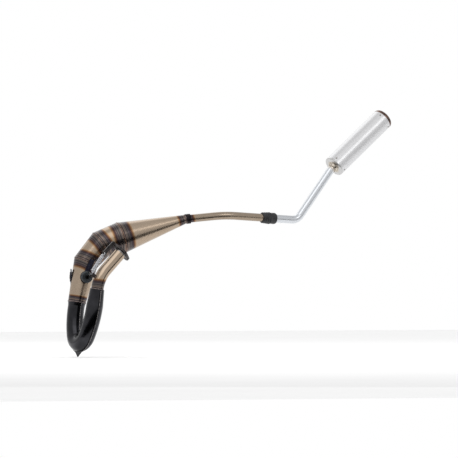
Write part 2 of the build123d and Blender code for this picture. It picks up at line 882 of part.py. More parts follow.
with BuildPart() as bobbin_insert:
    with BuildSketch(bobbin_plane.offset(bobbin_end - bobbin_insert_depth)):
        Circle(bobbin_insert_radius)
    extrude(amount=bobbin_insert_depth)
    with BuildSketch(bobbin_plane.offset(bobbin_end)):
        Circle(bobbin_thread_radius)
    extrude(amount=-bobbin_thread_depth, mode=Mode.SUBTRACT)
save(bobbin_insert.part, "bobbin_insert")

brace_root = bobbin_foot + bobbin_out * (bobbin_cup_out + bobbin_cup_plate / 2) + upwards * bobbin_cup_radius / 2
brace_axis_point = rising_top + lower_belly * brace_belly_along
brace_out = across(lower_belly, bobbin_out)
brace_end = brace_axis_point + brace_out * (rising_top_radius - brace_thickness)
brace_along = (brace_end - brace_root).normalized()
brace_normal = across(brace_along, bobbin_out)
with BuildPart() as bobbin_brace:
    brace_length = (brace_end - brace_root).length
    with BuildSketch(Plane(brace_root - brace_normal * brace_thickness / 2, brace_along, brace_normal)):
        with Locations((brace_length / 2, 0)):
            SlotCenterToCenter(brace_length, brace_width)
    extrude(amount=brace_thickness)
    add(rising_blank, mode=Mode.SUBTRACT)
    add(lower_belly_blank, mode=Mode.SUBTRACT)
    with BuildSketch(bobbin_plane.offset(bobbin_cup_out)):
        Circle(bobbin_cup_radius)
    extrude(amount=bobbin_cup_plate, mode=Mode.SUBTRACT)
    with BuildSketch(bobbin_plane):
        Circle(bobbin_cup_radius)
    extrude(amount=bobbin_cup_out, mode=Mode.SUBTRACT)
    with BuildSketch(bobbin_plane.offset(bobbin_start)):
        Circle(bobbin_cup_radius)
    extrude(amount=bobbin_length, mode=Mode.SUBTRACT)
save(bobbin_brace.part, "bobbin_brace")
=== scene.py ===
"""Looks of a two-stroke racing exhaust: finishes, welds, springs, rivets, light and camera.

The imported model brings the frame. Everything here is in metres, +X to the rear, +Y to the far side and +Z up,
with the origin at the centre of the cylinder flange's gasket face.
"""

from __future__ import annotations

import json
import logging
import math
from dataclasses import dataclass, field
from enum import Enum

import bmesh
import bpy
from mathutils import Matrix, Vector

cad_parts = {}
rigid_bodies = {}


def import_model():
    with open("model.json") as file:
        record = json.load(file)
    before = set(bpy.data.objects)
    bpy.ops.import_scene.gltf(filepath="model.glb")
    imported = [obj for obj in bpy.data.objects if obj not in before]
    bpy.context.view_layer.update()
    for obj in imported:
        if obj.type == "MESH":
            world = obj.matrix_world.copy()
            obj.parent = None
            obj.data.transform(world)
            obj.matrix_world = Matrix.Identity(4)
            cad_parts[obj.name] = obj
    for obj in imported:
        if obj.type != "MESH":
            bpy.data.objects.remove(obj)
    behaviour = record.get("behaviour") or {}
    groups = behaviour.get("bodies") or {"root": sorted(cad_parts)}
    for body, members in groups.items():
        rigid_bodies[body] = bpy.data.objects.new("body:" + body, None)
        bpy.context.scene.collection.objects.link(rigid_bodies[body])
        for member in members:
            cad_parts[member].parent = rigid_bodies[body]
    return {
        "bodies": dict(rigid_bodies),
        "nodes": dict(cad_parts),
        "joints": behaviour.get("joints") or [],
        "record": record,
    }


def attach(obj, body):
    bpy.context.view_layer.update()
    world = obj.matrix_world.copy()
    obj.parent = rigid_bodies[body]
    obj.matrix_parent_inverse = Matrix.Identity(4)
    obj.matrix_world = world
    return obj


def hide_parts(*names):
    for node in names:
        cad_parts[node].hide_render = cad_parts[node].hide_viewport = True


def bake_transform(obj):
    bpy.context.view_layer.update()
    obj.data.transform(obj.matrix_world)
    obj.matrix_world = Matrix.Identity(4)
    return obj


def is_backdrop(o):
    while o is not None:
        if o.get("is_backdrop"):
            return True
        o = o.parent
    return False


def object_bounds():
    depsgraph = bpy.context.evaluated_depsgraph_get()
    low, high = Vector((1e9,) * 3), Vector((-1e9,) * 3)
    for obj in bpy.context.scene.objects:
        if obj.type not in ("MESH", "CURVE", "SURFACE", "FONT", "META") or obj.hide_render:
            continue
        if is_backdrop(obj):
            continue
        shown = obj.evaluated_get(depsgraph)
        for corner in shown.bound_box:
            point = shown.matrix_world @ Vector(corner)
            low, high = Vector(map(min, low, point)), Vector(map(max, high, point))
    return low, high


LOG = logging.getLogger("exhaust")
MM = 0.001
FULL_TURN = 2 * math.pi
Colour = tuple[float, float, float]
Stop = tuple[float, Colour]


class Body(Enum):
    """The moving bodies that a piece can ride on."""

    MANIFOLD = "manifold"
    SEAL = "slip_seal"
    CHAMBER = "chamber"
    COUPLER = "coupler"
    SILENCER = "silencer"


class Slot(Enum):
    """The names of the material slots; no piece takes its finish from them."""

    LACQUERED = "lacquered_steel"
    PRESSED = "pressed_steel"
    FLANGE = "flange_steel"
    BRACKET = "bracket_steel"
    ZINC = "zinc_wire"
    BOBBIN = "bobbin_rubber"
    COUPLER = "coupler_rubber"
    BRIGHT = "bright_aluminium"
    RIVET = "rivet_aluminium"


# ---------------------------------------------------------------- directions
def pointing(heading: float, climb: float) -> Vector:
    """Finds the unit vector at a heading in plan and a climb above the horizontal.

    Args:
        heading: Angle from +X towards +Y, in degrees.
        climb: Angle above the horizontal, in degrees.

    Returns:
        The unit vector.
    """
    flat = math.cos(math.radians(climb))
    turn = math.radians(heading)
    return Vector((flat * math.cos(turn), flat * math.sin(turn), math.sin(math.radians(climb))))


def across(axis: Vector, guide: Vector) -> Vector:
    """Finds the unit vector square to an axis and nearest to a guide.

    Args:
        axis: Unit vector that the answer is square to.
        guide: Vector that the answer leans towards.

    Returns:
        The unit vector.
    """
    return (guide - axis * guide.dot(axis)).normalized()


def standing(origin: Vector, axis: Vector, guide: Vector) -> Matrix:
    """Makes the matrix that stands a shape on a point, with its z along an axis.

    Args:
        origin: Where the shape's own origin goes.
        axis: Where the shape's z points.
        guide: Vector that the shape's x leans towards.

    Returns:
        The placing matrix.
    """
    along = axis.normalized()
    side = across(along, guide)
    turn = Matrix((side, along.cross(side), along)).transposed().to_4x4()
    return Matrix.Translation(origin) @ turn


UP = Vector((0, 0, 1))
FAR = Vector((0, 1, 0))


@dataclass(frozen=True)
class Seam:
    """A round weld seam: its centre, the direction square to it, its radius and how far its heat runs."""

    centre: Vector
    normal: Vector
    radius: float
    heat: float


@dataclass(frozen=True)
class Centreline:
    """The gas path, leg by leg, as (length, heading, climb) or as sizes of its bends."""

    flange_slope: float = 45.0
    header_straight: float = 72.5 * MM
    header_bend_radius: float = 100 * MM
    header_bend: float = 35.0
    header_leg: float = 5.5 * MM
    bend_half_width: float = 52 * MM
    bend_bottom_radius: float = 36 * MM
    bend_side_turn: float = 26.0
    bend_near_leg: float = 44 * MM
    bend_far_leg: float = 10.6 * MM
    rising_leg: tuple[float, float, float] = (116 * MM, 17.1, 72.2)
    lower_belly_leg: tuple[float, float, float] = (66.7 * MM, -15.3, 49.2)
    upper_belly_leg: tuple[float, float, float] = (61 * MM, -15.0, 18.1)
    tail_leg: tuple[float, float, float] = (193.5 * MM, -14.9, 15.6)
    stinger_lead: tuple[float, float, float] = (114.3 * MM, -14.8, 5.5)
    stinger_run: tuple[float, float, float] = (122 * MM, 2.85, -3.2)
    link_run: float = 119.7 * MM
    link_rise: tuple[float, float, float] = (180 * MM, 0.0, 52.1)
    silencer_way: tuple[float, float] = (5.65, 38.5)
    cap_gap: float = 12 * MM

    @property
    def flow(self) -> Vector:
        """The gas direction where it leaves the flange."""
        return pointing(180.0, -self.flange_slope)

    @property
    def below(self) -> Vector:
        """The direction from the header's axis to its inner side."""
        return pointing(0.0, self.flange_slope - 90.0)

    def header_way(self, turn: float) -> Vector:
        """The gas direction in the header after a turn in degrees."""
        return self.flow * math.cos(math.radians(turn)) + self.below * math.sin(math.radians(turn))

    def header_outside(self, turn: float) -> Vector:
        """The direction away from the centre of the header's bend after a turn in degrees."""
        return self.flow * math.sin(math.radians(turn)) - self.below * math.cos(math.radians(turn))

    def header_point(self, turn: float) -> Vector:
        """The point on the header's bent axis after a turn in degrees."""
        centre = self.flow * self.header_straight + self.below * self.header_bend_radius
        return centre + self.header_outside(turn) * self.header_bend_radius

    @property
    def leg_down(self) -> Vector:
        """The direction down the U-bend's legs."""
        return self.header_way(self.header_bend)

    @property
    def leg_front(self) -> Vector:
        """The direction out of the U-bend's plane, to the front of the machine."""
        return self.header_outside(self.header_bend)

    @property
    def bend_top(self) -> Vector:
        """The centre of the U-bend's near mouth."""
        return self.header_point(self.header_bend) + self.leg_down * self.header_leg

    def bend_point(self, out: float, down: float) -> Vector:
        """The point in the U-bend's plane, out from its near leg and down from its top."""
        return self.bend_top + FAR * out + self.leg_down * down

    @property
    def far_leg_top(self) -> Vector:
        """The centre of the U-bend's far mouth."""
        return self.bend_point(2 * self.bend_half_width, self.bend_near_leg - self.bend_far_leg)

    def leg_end(self, start: Vector, leg: tuple[float, float, float]) -> Vector:
        """The far end of a straight leg."""
        return start + pointing(leg[1], leg[2]) * leg[0]

    @property
    def rising_top(self) -> Vector:
        """The corner between the rising cone and the lower belly."""
        return self.leg_end(self.far_leg_top, self.rising_leg)

    @property
    def belly_middle(self) -> Vector:
        """The corner between the two belly cones."""
        return self.leg_end(self.rising_top, self.lower_belly_leg)

    @property
    def widest(self) -> Vector:
        """The corner between the upper belly and the tail cone."""
        return self.leg_end(self.belly_middle, self.upper_belly_leg)

    @property
    def tail_end(self) -> Vector:
        """The small end of the tail cone."""
        return self.leg_end(self.widest, self.tail_leg)

    @property
    def coupler_start(self) -> Vector:
        """The front face of the rubber coupler."""
        return self.leg_end(self.leg_end(self.tail_end, self.stinger_lead), self.stinger_run)

    @property
    def coupler_way(self) -> Vector:
        """The direction through the rubber coupler."""
        return pointing(self.stinger_run[1], self.stinger_run[2])

    @property
    def silencer_axis(self) -> Vector:
        """The direction through the silencer."""
        return pointing(*self.silencer_way)

    @property
    def cap_face(self) -> Vector:
        """The centre of the silencer's front face."""
        corner = self.coupler_start + self.coupler_way * self.link_run
        return self.leg_end(corner, self.link_rise) + self.silencer_axis * self.cap_gap


PATH = Centreline()


def mitre(before: tuple[float, float, float], after: tuple[float, float, float]) -> Vector:
    """The direction square to the mitred seam between two legs."""
    return (pointing(before[1], before[2]) + pointing(after[1], after[2])).normalized()


BEND_SEAM = Seam(PATH.far_leg_top, PATH.leg_down * -1, 25 * MM, 21 * MM)
RISING_SEAM = Seam(PATH.rising_top, mitre(PATH.rising_leg, PATH.lower_belly_leg), 35 * MM, 31 * MM)
BELLY_SEAM = Seam(PATH.belly_middle, mitre(PATH.lower_belly_leg, PATH.upper_belly_leg), 39.5 * MM, 30 * MM)
WIDEST_SEAM = Seam(PATH.widest, mitre(PATH.upper_belly_leg, PATH.tail_leg), 44 * MM, 33 * MM)
TAIL_SEAM = Seam(PATH.tail_end, pointing(*PATH.tail_leg[1:]), 12.2 * MM, 28 * MM)
HEADER_SEAM = Seam(PATH.bend_top - PATH.leg_down * 3 * MM, PATH.leg_down * -1, 18 * MM, 34 * MM)
CAP_SEAM = Seam(PATH.cap_face, PATH.silencer_axis, 15 * MM, 6 * MM)


# ---------------------------------------------------------------- material nodes
class NodeGraph:
    """The nodes of one material, with short calls that add and join them."""

    def __init__(self, name: str) -> None:
        """Makes a material with one principled shader.

        Args:
            name: The material's name.
        """
        self.material = bpy.data.materials.new(name)
        self.material.use_nodes = True
        self.tree = self.material.node_tree
        self.shader = self.tree.nodes["Principled BSDF"]
        self.place = self.add("ShaderNodeTexCoord").outputs["Object"]

    def add(self, kind: str, **settings: object) -> bpy.types.Node:
        """Adds a node and sets its properties.

        Args:
            kind: The node's type name.
            **settings: Properties to set on it.

        Returns:
            The node.
        """
        node = self.tree.nodes.new(kind)
        for key, value in settings.items():
            setattr(node, key, value)
        return node

    def feed(self, target: bpy.types.NodeSocket, value: object) -> None:
        """Joins a socket to an input, or sets the input to a plain value.

        Args:
            target: The input.
            value: An output socket, or the value itself.
        """
        if isinstance(value, bpy.types.NodeSocket):
            self.tree.links.new(value, target)
        else:
            target.default_value = value

    def maths(self, operation: str, first: object, second: object = 0.0) -> bpy.types.NodeSocket:
        """Adds one step of arithmetic.

        Args:
            operation: The step's name, such as MULTIPLY.
            first: The first number or socket.
            second: The second number or socket.

        Returns:
            The answer's socket.
        """
        node = self.add("ShaderNodeMath", operation=operation)
        self.feed(node.inputs[0], first)
        self.feed(node.inputs[1], second)
        return node.outputs[0]

    def stretched(self, scale: Colour) -> bpy.types.NodeSocket:
        """Scales each axis of the place on the object, for grain that runs one way.

        Args:
            scale: The factor along each axis.

        Returns:
            The scaled place.
        """
        node = self.add("ShaderNodeMapping")
        self.feed(node.inputs["Vector"], self.place)
        self.feed(node.inputs["Scale"], scale)
        return node.outputs[0]

    def noise(self, scale: float, detail: float = 3.0, vector: object = None) -> bpy.types.NodeSocket:
        """Adds a soft random pattern.

        Args:
            scale: Its size, in repeats to the metre.
            detail: How many finer layers it has.
            vector: The place it is read at, or the place on the object.

        Returns:
            The pattern's strength, from 0 to 1.
        """
        node = self.add("ShaderNodeTexNoise")
        self.feed(node.inputs["Vector"], vector or self.place)
        self.feed(node.inputs["Scale"], scale)
        self.feed(node.inputs["Detail"], detail)
        return node.outputs["Fac"]

    def stripes(self, along: bpy.types.NodeSocket, scale: float, detail: float) -> bpy.types.NodeSocket:
        """Adds random stripes square to a distance.

        Args:
            along: The distance.
            scale: Repeats to the metre.
            detail: How many finer layers they have.

        Returns:
            The stripes' strength, from 0 to 1.
        """
        node = self.add("ShaderNodeTexNoise", noise_dimensions="1D")
        self.feed(node.inputs["W"], along)
        self.feed(node.inputs["Scale"], scale)
        self.feed(node.inputs["Detail"], detail)
        self.feed(node.inputs["Roughness"], 0.7)
        return node.outputs["Fac"]

    def ramp(self, factor: object, stops: tuple[Stop, ...]) -> bpy.types.NodeSocket:
        """Turns a number into a colour.

        Args:
            factor: The number.
            stops: Places from 0 to 1 and their colours.

        Returns:
            The colour's socket.
        """
        node = self.add("ShaderNodeValToRGB")
        elements = node.color_ramp.elements
        while len(elements) < len(stops):
            elements.new(1.0)
        for element, (place, colour) in zip(elements, stops):
            element.position = place
            element.color = (*colour, 1.0)
        self.feed(node.inputs["Fac"], factor)
        return node.outputs["Color"]

    def mix(self, factor: object, first: object, second: object, blend: str = "MIX") -> bpy.types.NodeSocket:
        """Mixes two colours.

        Args:
            factor: Share of the second, from 0 to 1.
            first: The first colour or its socket.
            second: The second colour or its socket.
            blend: How they mix.

        Returns:
            The mixed colour's socket.
        """
        node = self.add("ShaderNodeMix", data_type="RGBA", blend_type=blend)
        self.feed(node.inputs[0], factor)
        for socket, value in ((node.inputs[6], first), (node.inputs[7], second)):
            self.feed(socket, value if isinstance(value, bpy.types.NodeSocket) else (*value, 1.0))
        return node.outputs[2]

    def between(self, factor: object, low: float, high: float) -> bpy.types.NodeSocket:
        """Spreads a number from 0..1 onto low..high.

        Args:
            factor: The number.
            low: Where 0 goes.
            high: Where 1 goes.

        Returns:
            The spread number.
        """
        node = self.add("ShaderNodeMapRange")
        self.feed(node.inputs["Value"], factor)
        self.feed(node.inputs["To Min"], low)
        self.feed(node.inputs["To Max"], high)
        return node.outputs[0]

    def bump(self, height: object, depth: float) -> None:
        """Raises the surface by a pattern.

        Args:
            height: The pattern.
            depth: How far it stands, in metres.
        """
        node = self.add("ShaderNodeBump")
        self.feed(node.inputs["Height"], height)
        self.feed(node.inputs["Distance"], depth)
        self.feed(node.inputs["Strength"], 0.6)
        self.feed(self.shader.inputs["Normal"], node.outputs[0])

    def finish(self, **values: object) -> bpy.types.Material:
        """Sets the shader's inputs, with underscores for spaces in their names.

        Args:
            **values: Inputs by name, as sockets or plain values.

        Returns:
            The finished material.
        """
        for key, value in values.items():
            self.feed(self.shader.inputs[key.replace("_", " ").title()], value)
        return self.material

    def reach(self, seam: Seam) -> bpy.types.NodeSocket:
        """Finds the signed distance to a seam's plane.

        Args:
            seam: The seam.

        Returns:
            The distance, in metres.
        """
        node = self.add("ShaderNodeVectorMath", operation="DOT_PRODUCT")
        self.feed(node.inputs[0], self.place)
        self.feed(node.inputs[1], tuple(seam.normal))
        return self.maths("SUBTRACT", node.outputs["Value"], seam.centre.dot(seam.normal))


def tone(red: int, green: int, blue: int) -> Colour:
    """Turns a display colour from 0 to 255 into the linear one that shaders use."""
    return tuple((value / 255 / 12.92) if value < 11 else ((value / 255 + 0.055) / 1.055) ** 2.4
                 for value in (red, green, blue))


TEMPER: tuple[Stop, ...] = (
    (0.00, tone(126, 106, 92)),
    (0.08, tone(92, 86, 84)),
    (0.30, tone(118, 108, 100)),
    (0.50, tone(84, 78, 80)),
    (0.62, tone(66, 52, 56)),
    (0.72, tone(86, 58, 44)),
    (0.82, tone(136, 100, 68)),
    (0.91, tone(170, 142, 110)),
    (1.00, tone(168, 150, 132)),
)


@dataclass(frozen=True)
class HeatTintedSteel:
    """Rolled steel under clear lacquer, with temper colours and fine stripes beside each weld; the copper stripes
    are painted glints, a painted highlight.
    """

    name: str
    seams: tuple[Seam, ...]
    clean: Colour = tone(180, 162, 144)
    worn: Colour = tone(164, 146, 126)
    stripe_dark: Colour = tone(44, 40, 46)
    painted_glint_copper: Colour = tone(214, 170, 142)
    stripe_scale: float = 330.0
    rough_low: float = 0.2
    rough_high: float = 0.34

    def material(self) -> bpy.types.Material:
        """Builds the node material.

        Returns:
            The material.
        """
        graph = NodeGraph(self.name)
        cloud = graph.noise(22.0, 4.0)
        near: object = 1.0
        along: object = 0.0
        for number, seam in enumerate(self.seams):
            signed = graph.reach(seam)
            wavy = graph.maths("ADD", signed, graph.maths("MULTIPLY", graph.maths("SUBTRACT", cloud, 0.5), 4 * MM))
            share = graph.maths("DIVIDE", graph.maths("ABSOLUTE", wavy), seam.heat)
            closer = graph.maths("LESS_THAN", share, near)
            shifted = graph.maths("ADD", graph.maths("MULTIPLY", signed, 1.0), 0.31 * (number + 1))
            along = graph.maths("ADD", graph.maths("MULTIPLY", shifted, closer),
                                graph.maths("MULTIPLY", along, graph.maths("SUBTRACT", 1.0, closer)))
            near = graph.maths("MINIMUM", near, share)
        bands = graph.stripes(along, self.stripe_scale, 2.0)
        inside = graph.ramp(near, ((0.0, (1, 1, 1)), (0.5, (1, 1, 1)), (0.74, (0, 0, 0))))
        dark = graph.maths("MULTIPLY", graph.ramp(bands, ((0.46, (0, 0, 0)), (0.52, (1, 1, 1)))), inside)
        # Painted highlight: copper glint stripes laid over the real dark temper stripes in the heat zone.
        painted_glint = graph.maths("MULTIPLY", graph.ramp(bands, ((0.34, (1, 1, 1)), (0.385, (0, 0, 0)))), inside)
        temper = graph.ramp(near, TEMPER)
        sheet = graph.mix(cloud, self.clean, self.worn)
        clear = graph.ramp(near, ((0.84, (0, 0, 0)), (1.0, (1, 1, 1))))
        colour = graph.mix(clear, temper, sheet)
        colour = graph.mix(graph.maths("MULTIPLY", dark, 0.8), colour, self.stripe_dark)
        colour = graph.mix(graph.maths("MULTIPLY", painted_glint, 0.75), colour, self.painted_glint_copper)
        rough = graph.between(graph.noise(70.0, 5.0), self.rough_low, self.rough_high)
        return graph.finish(base_color=colour, metallic=0.94, roughness=rough, coat_weight=0.12, coat_roughness=0.1)


@dataclass(frozen=True)
class PlainMetal:
    """A metal of two close tones in soft clouds, with grain that may run one way."""

    name: str
    light: Colour
    dark: Colour
    rough_low: float = 0.25
    rough_high: float = 0.45
    cloud: float = 40.0
    grain: Colour = (1.0, 1.0, 1.0)
    grain_scale: float = 1200.0
    grain_depth: float = 0.001 * MM
    metallic: float = 1.0
    coat: float = 0.0

    def material(self) -> bpy.types.Material:
        """Builds the node material.

        Returns:
            The material.
        """
        graph = NodeGraph(self.name)
        cloud = graph.noise(self.cloud, 5.0)
        lines = graph.noise(self.grain_scale, 2.0, graph.stretched(self.grain))
        spread = graph.ramp(cloud, ((0.32, self.light), (0.68, self.dark)))
        colour = graph.mix(graph.maths("MULTIPLY", lines, 0.35), spread, self.dark)
        graph.bump(lines, self.grain_depth)
        rough = graph.between(lines, self.rough_low, self.rough_high)
        return graph.finish(base_color=colour, metallic=self.metallic, roughness=rough, coat_weight=self.coat)


@dataclass(frozen=True)
class BrushedTube:
    """Aluminium brushed along an axis, with a tint where heat reached it."""

    name: str
    axis: Vector
    light: Colour
    dark: Colour
    tint: Colour
    seam: Seam
    rough_low: float = 0.22
    rough_high: float = 0.4

    def material(self) -> bpy.types.Material:
        """Builds the node material.

        Returns:
            The material.
        """
        graph = NodeGraph(self.name)
        turned = graph.add("ShaderNodeMapping", vector_type="TEXTURE")
        graph.feed(turned.inputs["Vector"], graph.place)
        graph.feed(turned.inputs["Rotation"], tuple(self.axis.to_track_quat("Z", "Y").to_euler()))
        squeezed = graph.add("ShaderNodeMapping")
        graph.feed(squeezed.inputs["Vector"], turned.outputs[0])
        graph.feed(squeezed.inputs["Scale"], (1.0, 1.0, 0.02))
        lines = graph.noise(1500.0, 3.0, squeezed.outputs[0])
        cloud = graph.noise(30.0, 4.0)
        away = graph.add("ShaderNodeVectorMath", operation="DISTANCE")
        graph.feed(away.inputs[0], graph.place)
        graph.feed(away.inputs[1], tuple(self.seam.centre))
        share = graph.maths("DIVIDE", away.outputs["Value"], self.seam.radius + self.seam.heat)
        heated = graph.ramp(share, ((0.62, (1, 1, 1)), (1.0, (0, 0, 0))))
        colour = graph.mix(graph.maths("MULTIPLY", lines, 0.4), self.light, self.dark)
        colour = graph.mix(graph.maths("MULTIPLY", cloud, 0.25), colour, self.dark)
        colour = graph.mix(graph.maths("MULTIPLY", heated, 0.7), colour, self.tint)
        rough = graph.between(lines, self.rough_low, self.rough_high)
        return graph.finish(base_color=colour, metallic=1.0, roughness=rough)


@dataclass(frozen=True)
class MouldedRubber:
    """Rubber with a fine mould grain and a trace of dust."""

    name: str
    black: Colour = tone(24, 24, 27)
    dust: Colour = tone(58, 60, 64)
    rough_low: float = 0.42
    rough_high: float = 0.68

    def material(self) -> bpy.types.Material:
        """Builds the node material.

        Returns:
            The material.
        """
        graph = NodeGraph(self.name)
        patch = graph.noise(60.0, 6.0)
        grain = graph.noise(1600.0, 2.0)
        dusty = graph.ramp(patch, ((0.45, (0, 0, 0)), (0.8, (1, 1, 1))))
        colour = graph.mix(graph.maths("MULTIPLY", dusty, 0.6), self.black, self.dust)
        graph.bump(grain, 0.02 * MM)
        rough = graph.between(patch, self.rough_low, self.rough_high)
        return graph.finish(base_color=colour, metallic=0.0, roughness=rough)


@dataclass(frozen=True)
class WovenWool:
    """Glass-fibre wool: pale strands in two directions."""

    name: str
    pale: Colour = tone(216, 208, 178)
    deep: Colour = tone(168, 156, 118)

    def material(self) -> bpy.types.Material:
        """Builds the node material.

        Returns:
            The material.
        """
        graph = NodeGraph(self.name)
        strands = graph.noise(700.0, 4.0, graph.stretched((0.15, 1.0, 1.0)))
        crossed = graph.noise(700.0, 4.0, graph.stretched((1.0, 0.15, 1.0)))
        both = graph.maths("MULTIPLY", graph.maths("ADD", strands, crossed), 0.5)
        graph.bump(both, 0.6 * MM)
        colour = graph.mix(both, self.deep, self.pale)
        return graph.finish(base_color=colour, roughness=0.9, sheen_weight=0.3)


class Wardrobe:
    """Every finish of the exhaust, each made once."""

    def __init__(self) -> None:
        """Makes an empty wardrobe."""
        self.made: dict[str, bpy.types.Material] = {}

    def get(self, finish: object) -> bpy.types.Material:
        """Finds a finish's material, made on its first use.

        Args:
            finish: A finish with a name and a material() method.

        Returns:
            The material.
        """
        if finish.name not in self.made:
            self.made[finish.name] = finish.material()
        return self.made[finish.name]


WARDROBE = Wardrobe()

GUNMETAL = PlainMetal("pressed_gunmetal", tone(62, 62, 66), tone(36, 36, 39), 0.14, 0.26, 30.0, coat=0.2)
FLANGE_STEEL = PlainMetal("sooty_flange_steel", tone(78, 72, 70), tone(30, 28, 30), 0.18, 0.42, 120.0, coat=0.3)
SPIGOT_STEEL = PlainMetal("turned_spigot_steel", tone(150, 148, 146), tone(104, 100, 98), 0.2, 0.4)
BURNT_STEEL = PlainMetal("burnt_collar_steel", tone(58, 52, 54), tone(22, 21, 24), 0.3, 0.6, 120.0)
BRACKET_STEEL = PlainMetal("blued_bracket_steel", tone(58, 66, 84), tone(36, 30, 42), 0.22, 0.4, 70.0)
PLATED_STEEL = PlainMetal("plated_steel", tone(206, 202, 190), tone(160, 156, 146), 0.2, 0.35)
ZINC_WIRE = PlainMetal("zinc_wire", tone(240, 242, 246), tone(196, 198, 204), 0.2, 0.35, 200.0, metallic=0.85)
CORE_STEEL = PlainMetal("core_steel", tone(140, 136, 130), tone(96, 92, 88), 0.35, 0.55)
WELD_METAL = PlainMetal("weld_metal", tone(196, 150, 118), tone(84, 62, 58), 0.18, 0.4, 260.0)
DARK_WELD = PlainMetal("dark_weld_metal", tone(176, 158, 152), tone(60, 54, 60), 0.16, 0.36, 260.0)
# Partly painted highlight: the pale lip welds also stand in for the U-bend's lips catching light.
EDGE_WELD_AND_HIGHLIGHT = PlainMetal("edge_weld_and_highlight_metal", tone(168, 164, 162), tone(66, 64, 68), 0.16, 0.34, 200.0)
BRIGHT_WELD = PlainMetal("aluminium_weld_metal", tone(226, 222, 214), tone(176, 166, 148), 0.2, 0.36, 220.0)
CAP_METAL = BrushedTube("cap_aluminium", PATH.silencer_axis, tone(206, 206, 206), tone(178, 176, 174),
                        tone(196, 176, 142), CAP_SEAM)
SLEEVE_METAL = BrushedTube("satin_sleeve_aluminium", PATH.silencer_axis, tone(222, 222, 223), tone(204, 204, 206),
                           tone(206, 192, 168), CAP_SEAM, 0.34, 0.46)
LINK_METAL = BrushedTube("bright_link_aluminium", pointing(*PATH.link_rise[1:]), tone(216, 219, 223),
                         tone(194, 197, 202), tone(198, 178, 148), CAP_SEAM, 0.22, 0.34)
OUTLET_METAL = PlainMetal("bronzed_outlet_aluminium", tone(146, 118, 106), tone(70, 58, 54), 0.22, 0.42, 60.0)
RIVET_METAL = PlainMetal("rivet_aluminium", tone(206, 204, 202), tone(150, 146, 142), 0.25, 0.4, 300.0)
COUPLER_RUBBER = MouldedRubber("coupler_rubber")
BOBBIN_RUBBER = MouldedRubber("bobbin_rubber", tone(26, 31, 36), tone(64, 74, 82), 0.3, 0.5)
BLACK_STEEL = PlainMetal("oxide_black_steel", tone(52, 52, 54), tone(26, 26, 28), 0.3, 0.5, 150.0)
GROMMET_RUBBER = MouldedRubber("grommet_rubber", tone(28, 28, 30), tone(52, 52, 56))
SEAL_RUBBER = MouldedRubber("seal_rubber", tone(96, 34, 26), tone(126, 60, 48))
PACKING_WOOL = WovenWool("packing_wool")


# ---------------------------------------------------------------- mesh work
def new_piece(name: str, mesh: bmesh.types.BMesh, finish: object, smooth: bool = True) -> bpy.types.Object:
    """Turns finished mesh work into an object at the origin.

    Args:
        name: The piece's name.
        mesh: The mesh work, which is used up.
        finish: The finish it wears.
        smooth: Whether its faces shade smoothly.

    Returns:
        The new object.
    """
    bmesh.ops.recalc_face_normals(mesh, faces=mesh.faces[:])
    for face in mesh.faces:
        face.smooth = smooth
    data = bpy.data.meshes.new(name)
    mesh.to_mesh(data)
    mesh.free()
    piece = bpy.data.objects.new(name, data)
    bpy.context.scene.collection.objects.link(piece)
    data.materials.append(WARDROBE.get(finish))
    return piece


def settle(piece: bpy.types.Object, body: Body) -> bpy.types.Object:
    """Gives a new piece its body, and reports it.

    Args:
        piece: The new piece.
        body: The body it rides on.

    Returns:
        The same piece.
    """
    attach(piece, body.value)
    LOG.info("built %s on %s", piece.name, body.value)
    return piece


def paint(frame: dict, finish: object, *nodes: str) -> None:
    """Puts a finish on carried nodes.

    Args:
        frame: The loaded frame.
        finish: The finish.
        *nodes: The nodes' names.
    """
    for name in nodes:
        data = frame["nodes"][name].data
        if not data.materials:
            data.materials.append(None)
        for number in range(len(data.materials)):
            data.materials[number] = WARDROBE.get(finish)
        LOG.info("dressed %s in %s", name, finish.name)


def turned(mesh: bmesh.types.BMesh, profile: tuple[tuple[float, float], ...], origin: Vector, axis: Vector,
           steps: int, closed: bool = True) -> list:
    """Spins a profile of (radius, along) corners round an axis.

    Args:
        mesh: The mesh work it is added to.
        profile: The corners.
        origin: A point on the axis, where along is nothing.
        axis: The axis.
        steps: Faces round the axis.
        closed: Whether the last corner joins the first.

    Returns:
        The new faces.
    """
    out = across(axis, UP)
    corners = [mesh.verts.new(origin + out * radius + axis * along) for radius, along in profile]
    pairs = list(zip(corners, corners[1:]))
    if closed:
        pairs.append((corners[-1], corners[0]))
    edges = [mesh.edges.new(pair) for pair in pairs]
    before = set(mesh.faces)
    bmesh.ops.spin(mesh, geom=corners + edges, cent=origin, axis=axis, angle=FULL_TURN, steps=steps,
                   use_merge=True, use_duplicate=False)
    bmesh.ops.remove_doubles(mesh, verts=mesh.verts[:], dist=0.002 * MM)
    return [face for face in mesh.faces if face not in before]


def rounded(mesh: bmesh.types.BMesh, angle: float, offset: float, segments: int) -> None:
    """Bevels every edge that turns by more than an angle.

    Args:
        mesh: The mesh work.
        angle: The smallest turn, in degrees.
        offset: The bevel's width, in metres.
        segments: Faces across the bevel.
    """
    sharp = [edge for edge in mesh.edges if edge.is_manifold and edge.calc_face_angle() > math.radians(angle)]
    bmesh.ops.bevel(mesh, geom=sharp, offset=offset, offset_type="OFFSET", affect="EDGES", segments=segments,
                    profile=0.5, material=-1, clamp_overlap=True)


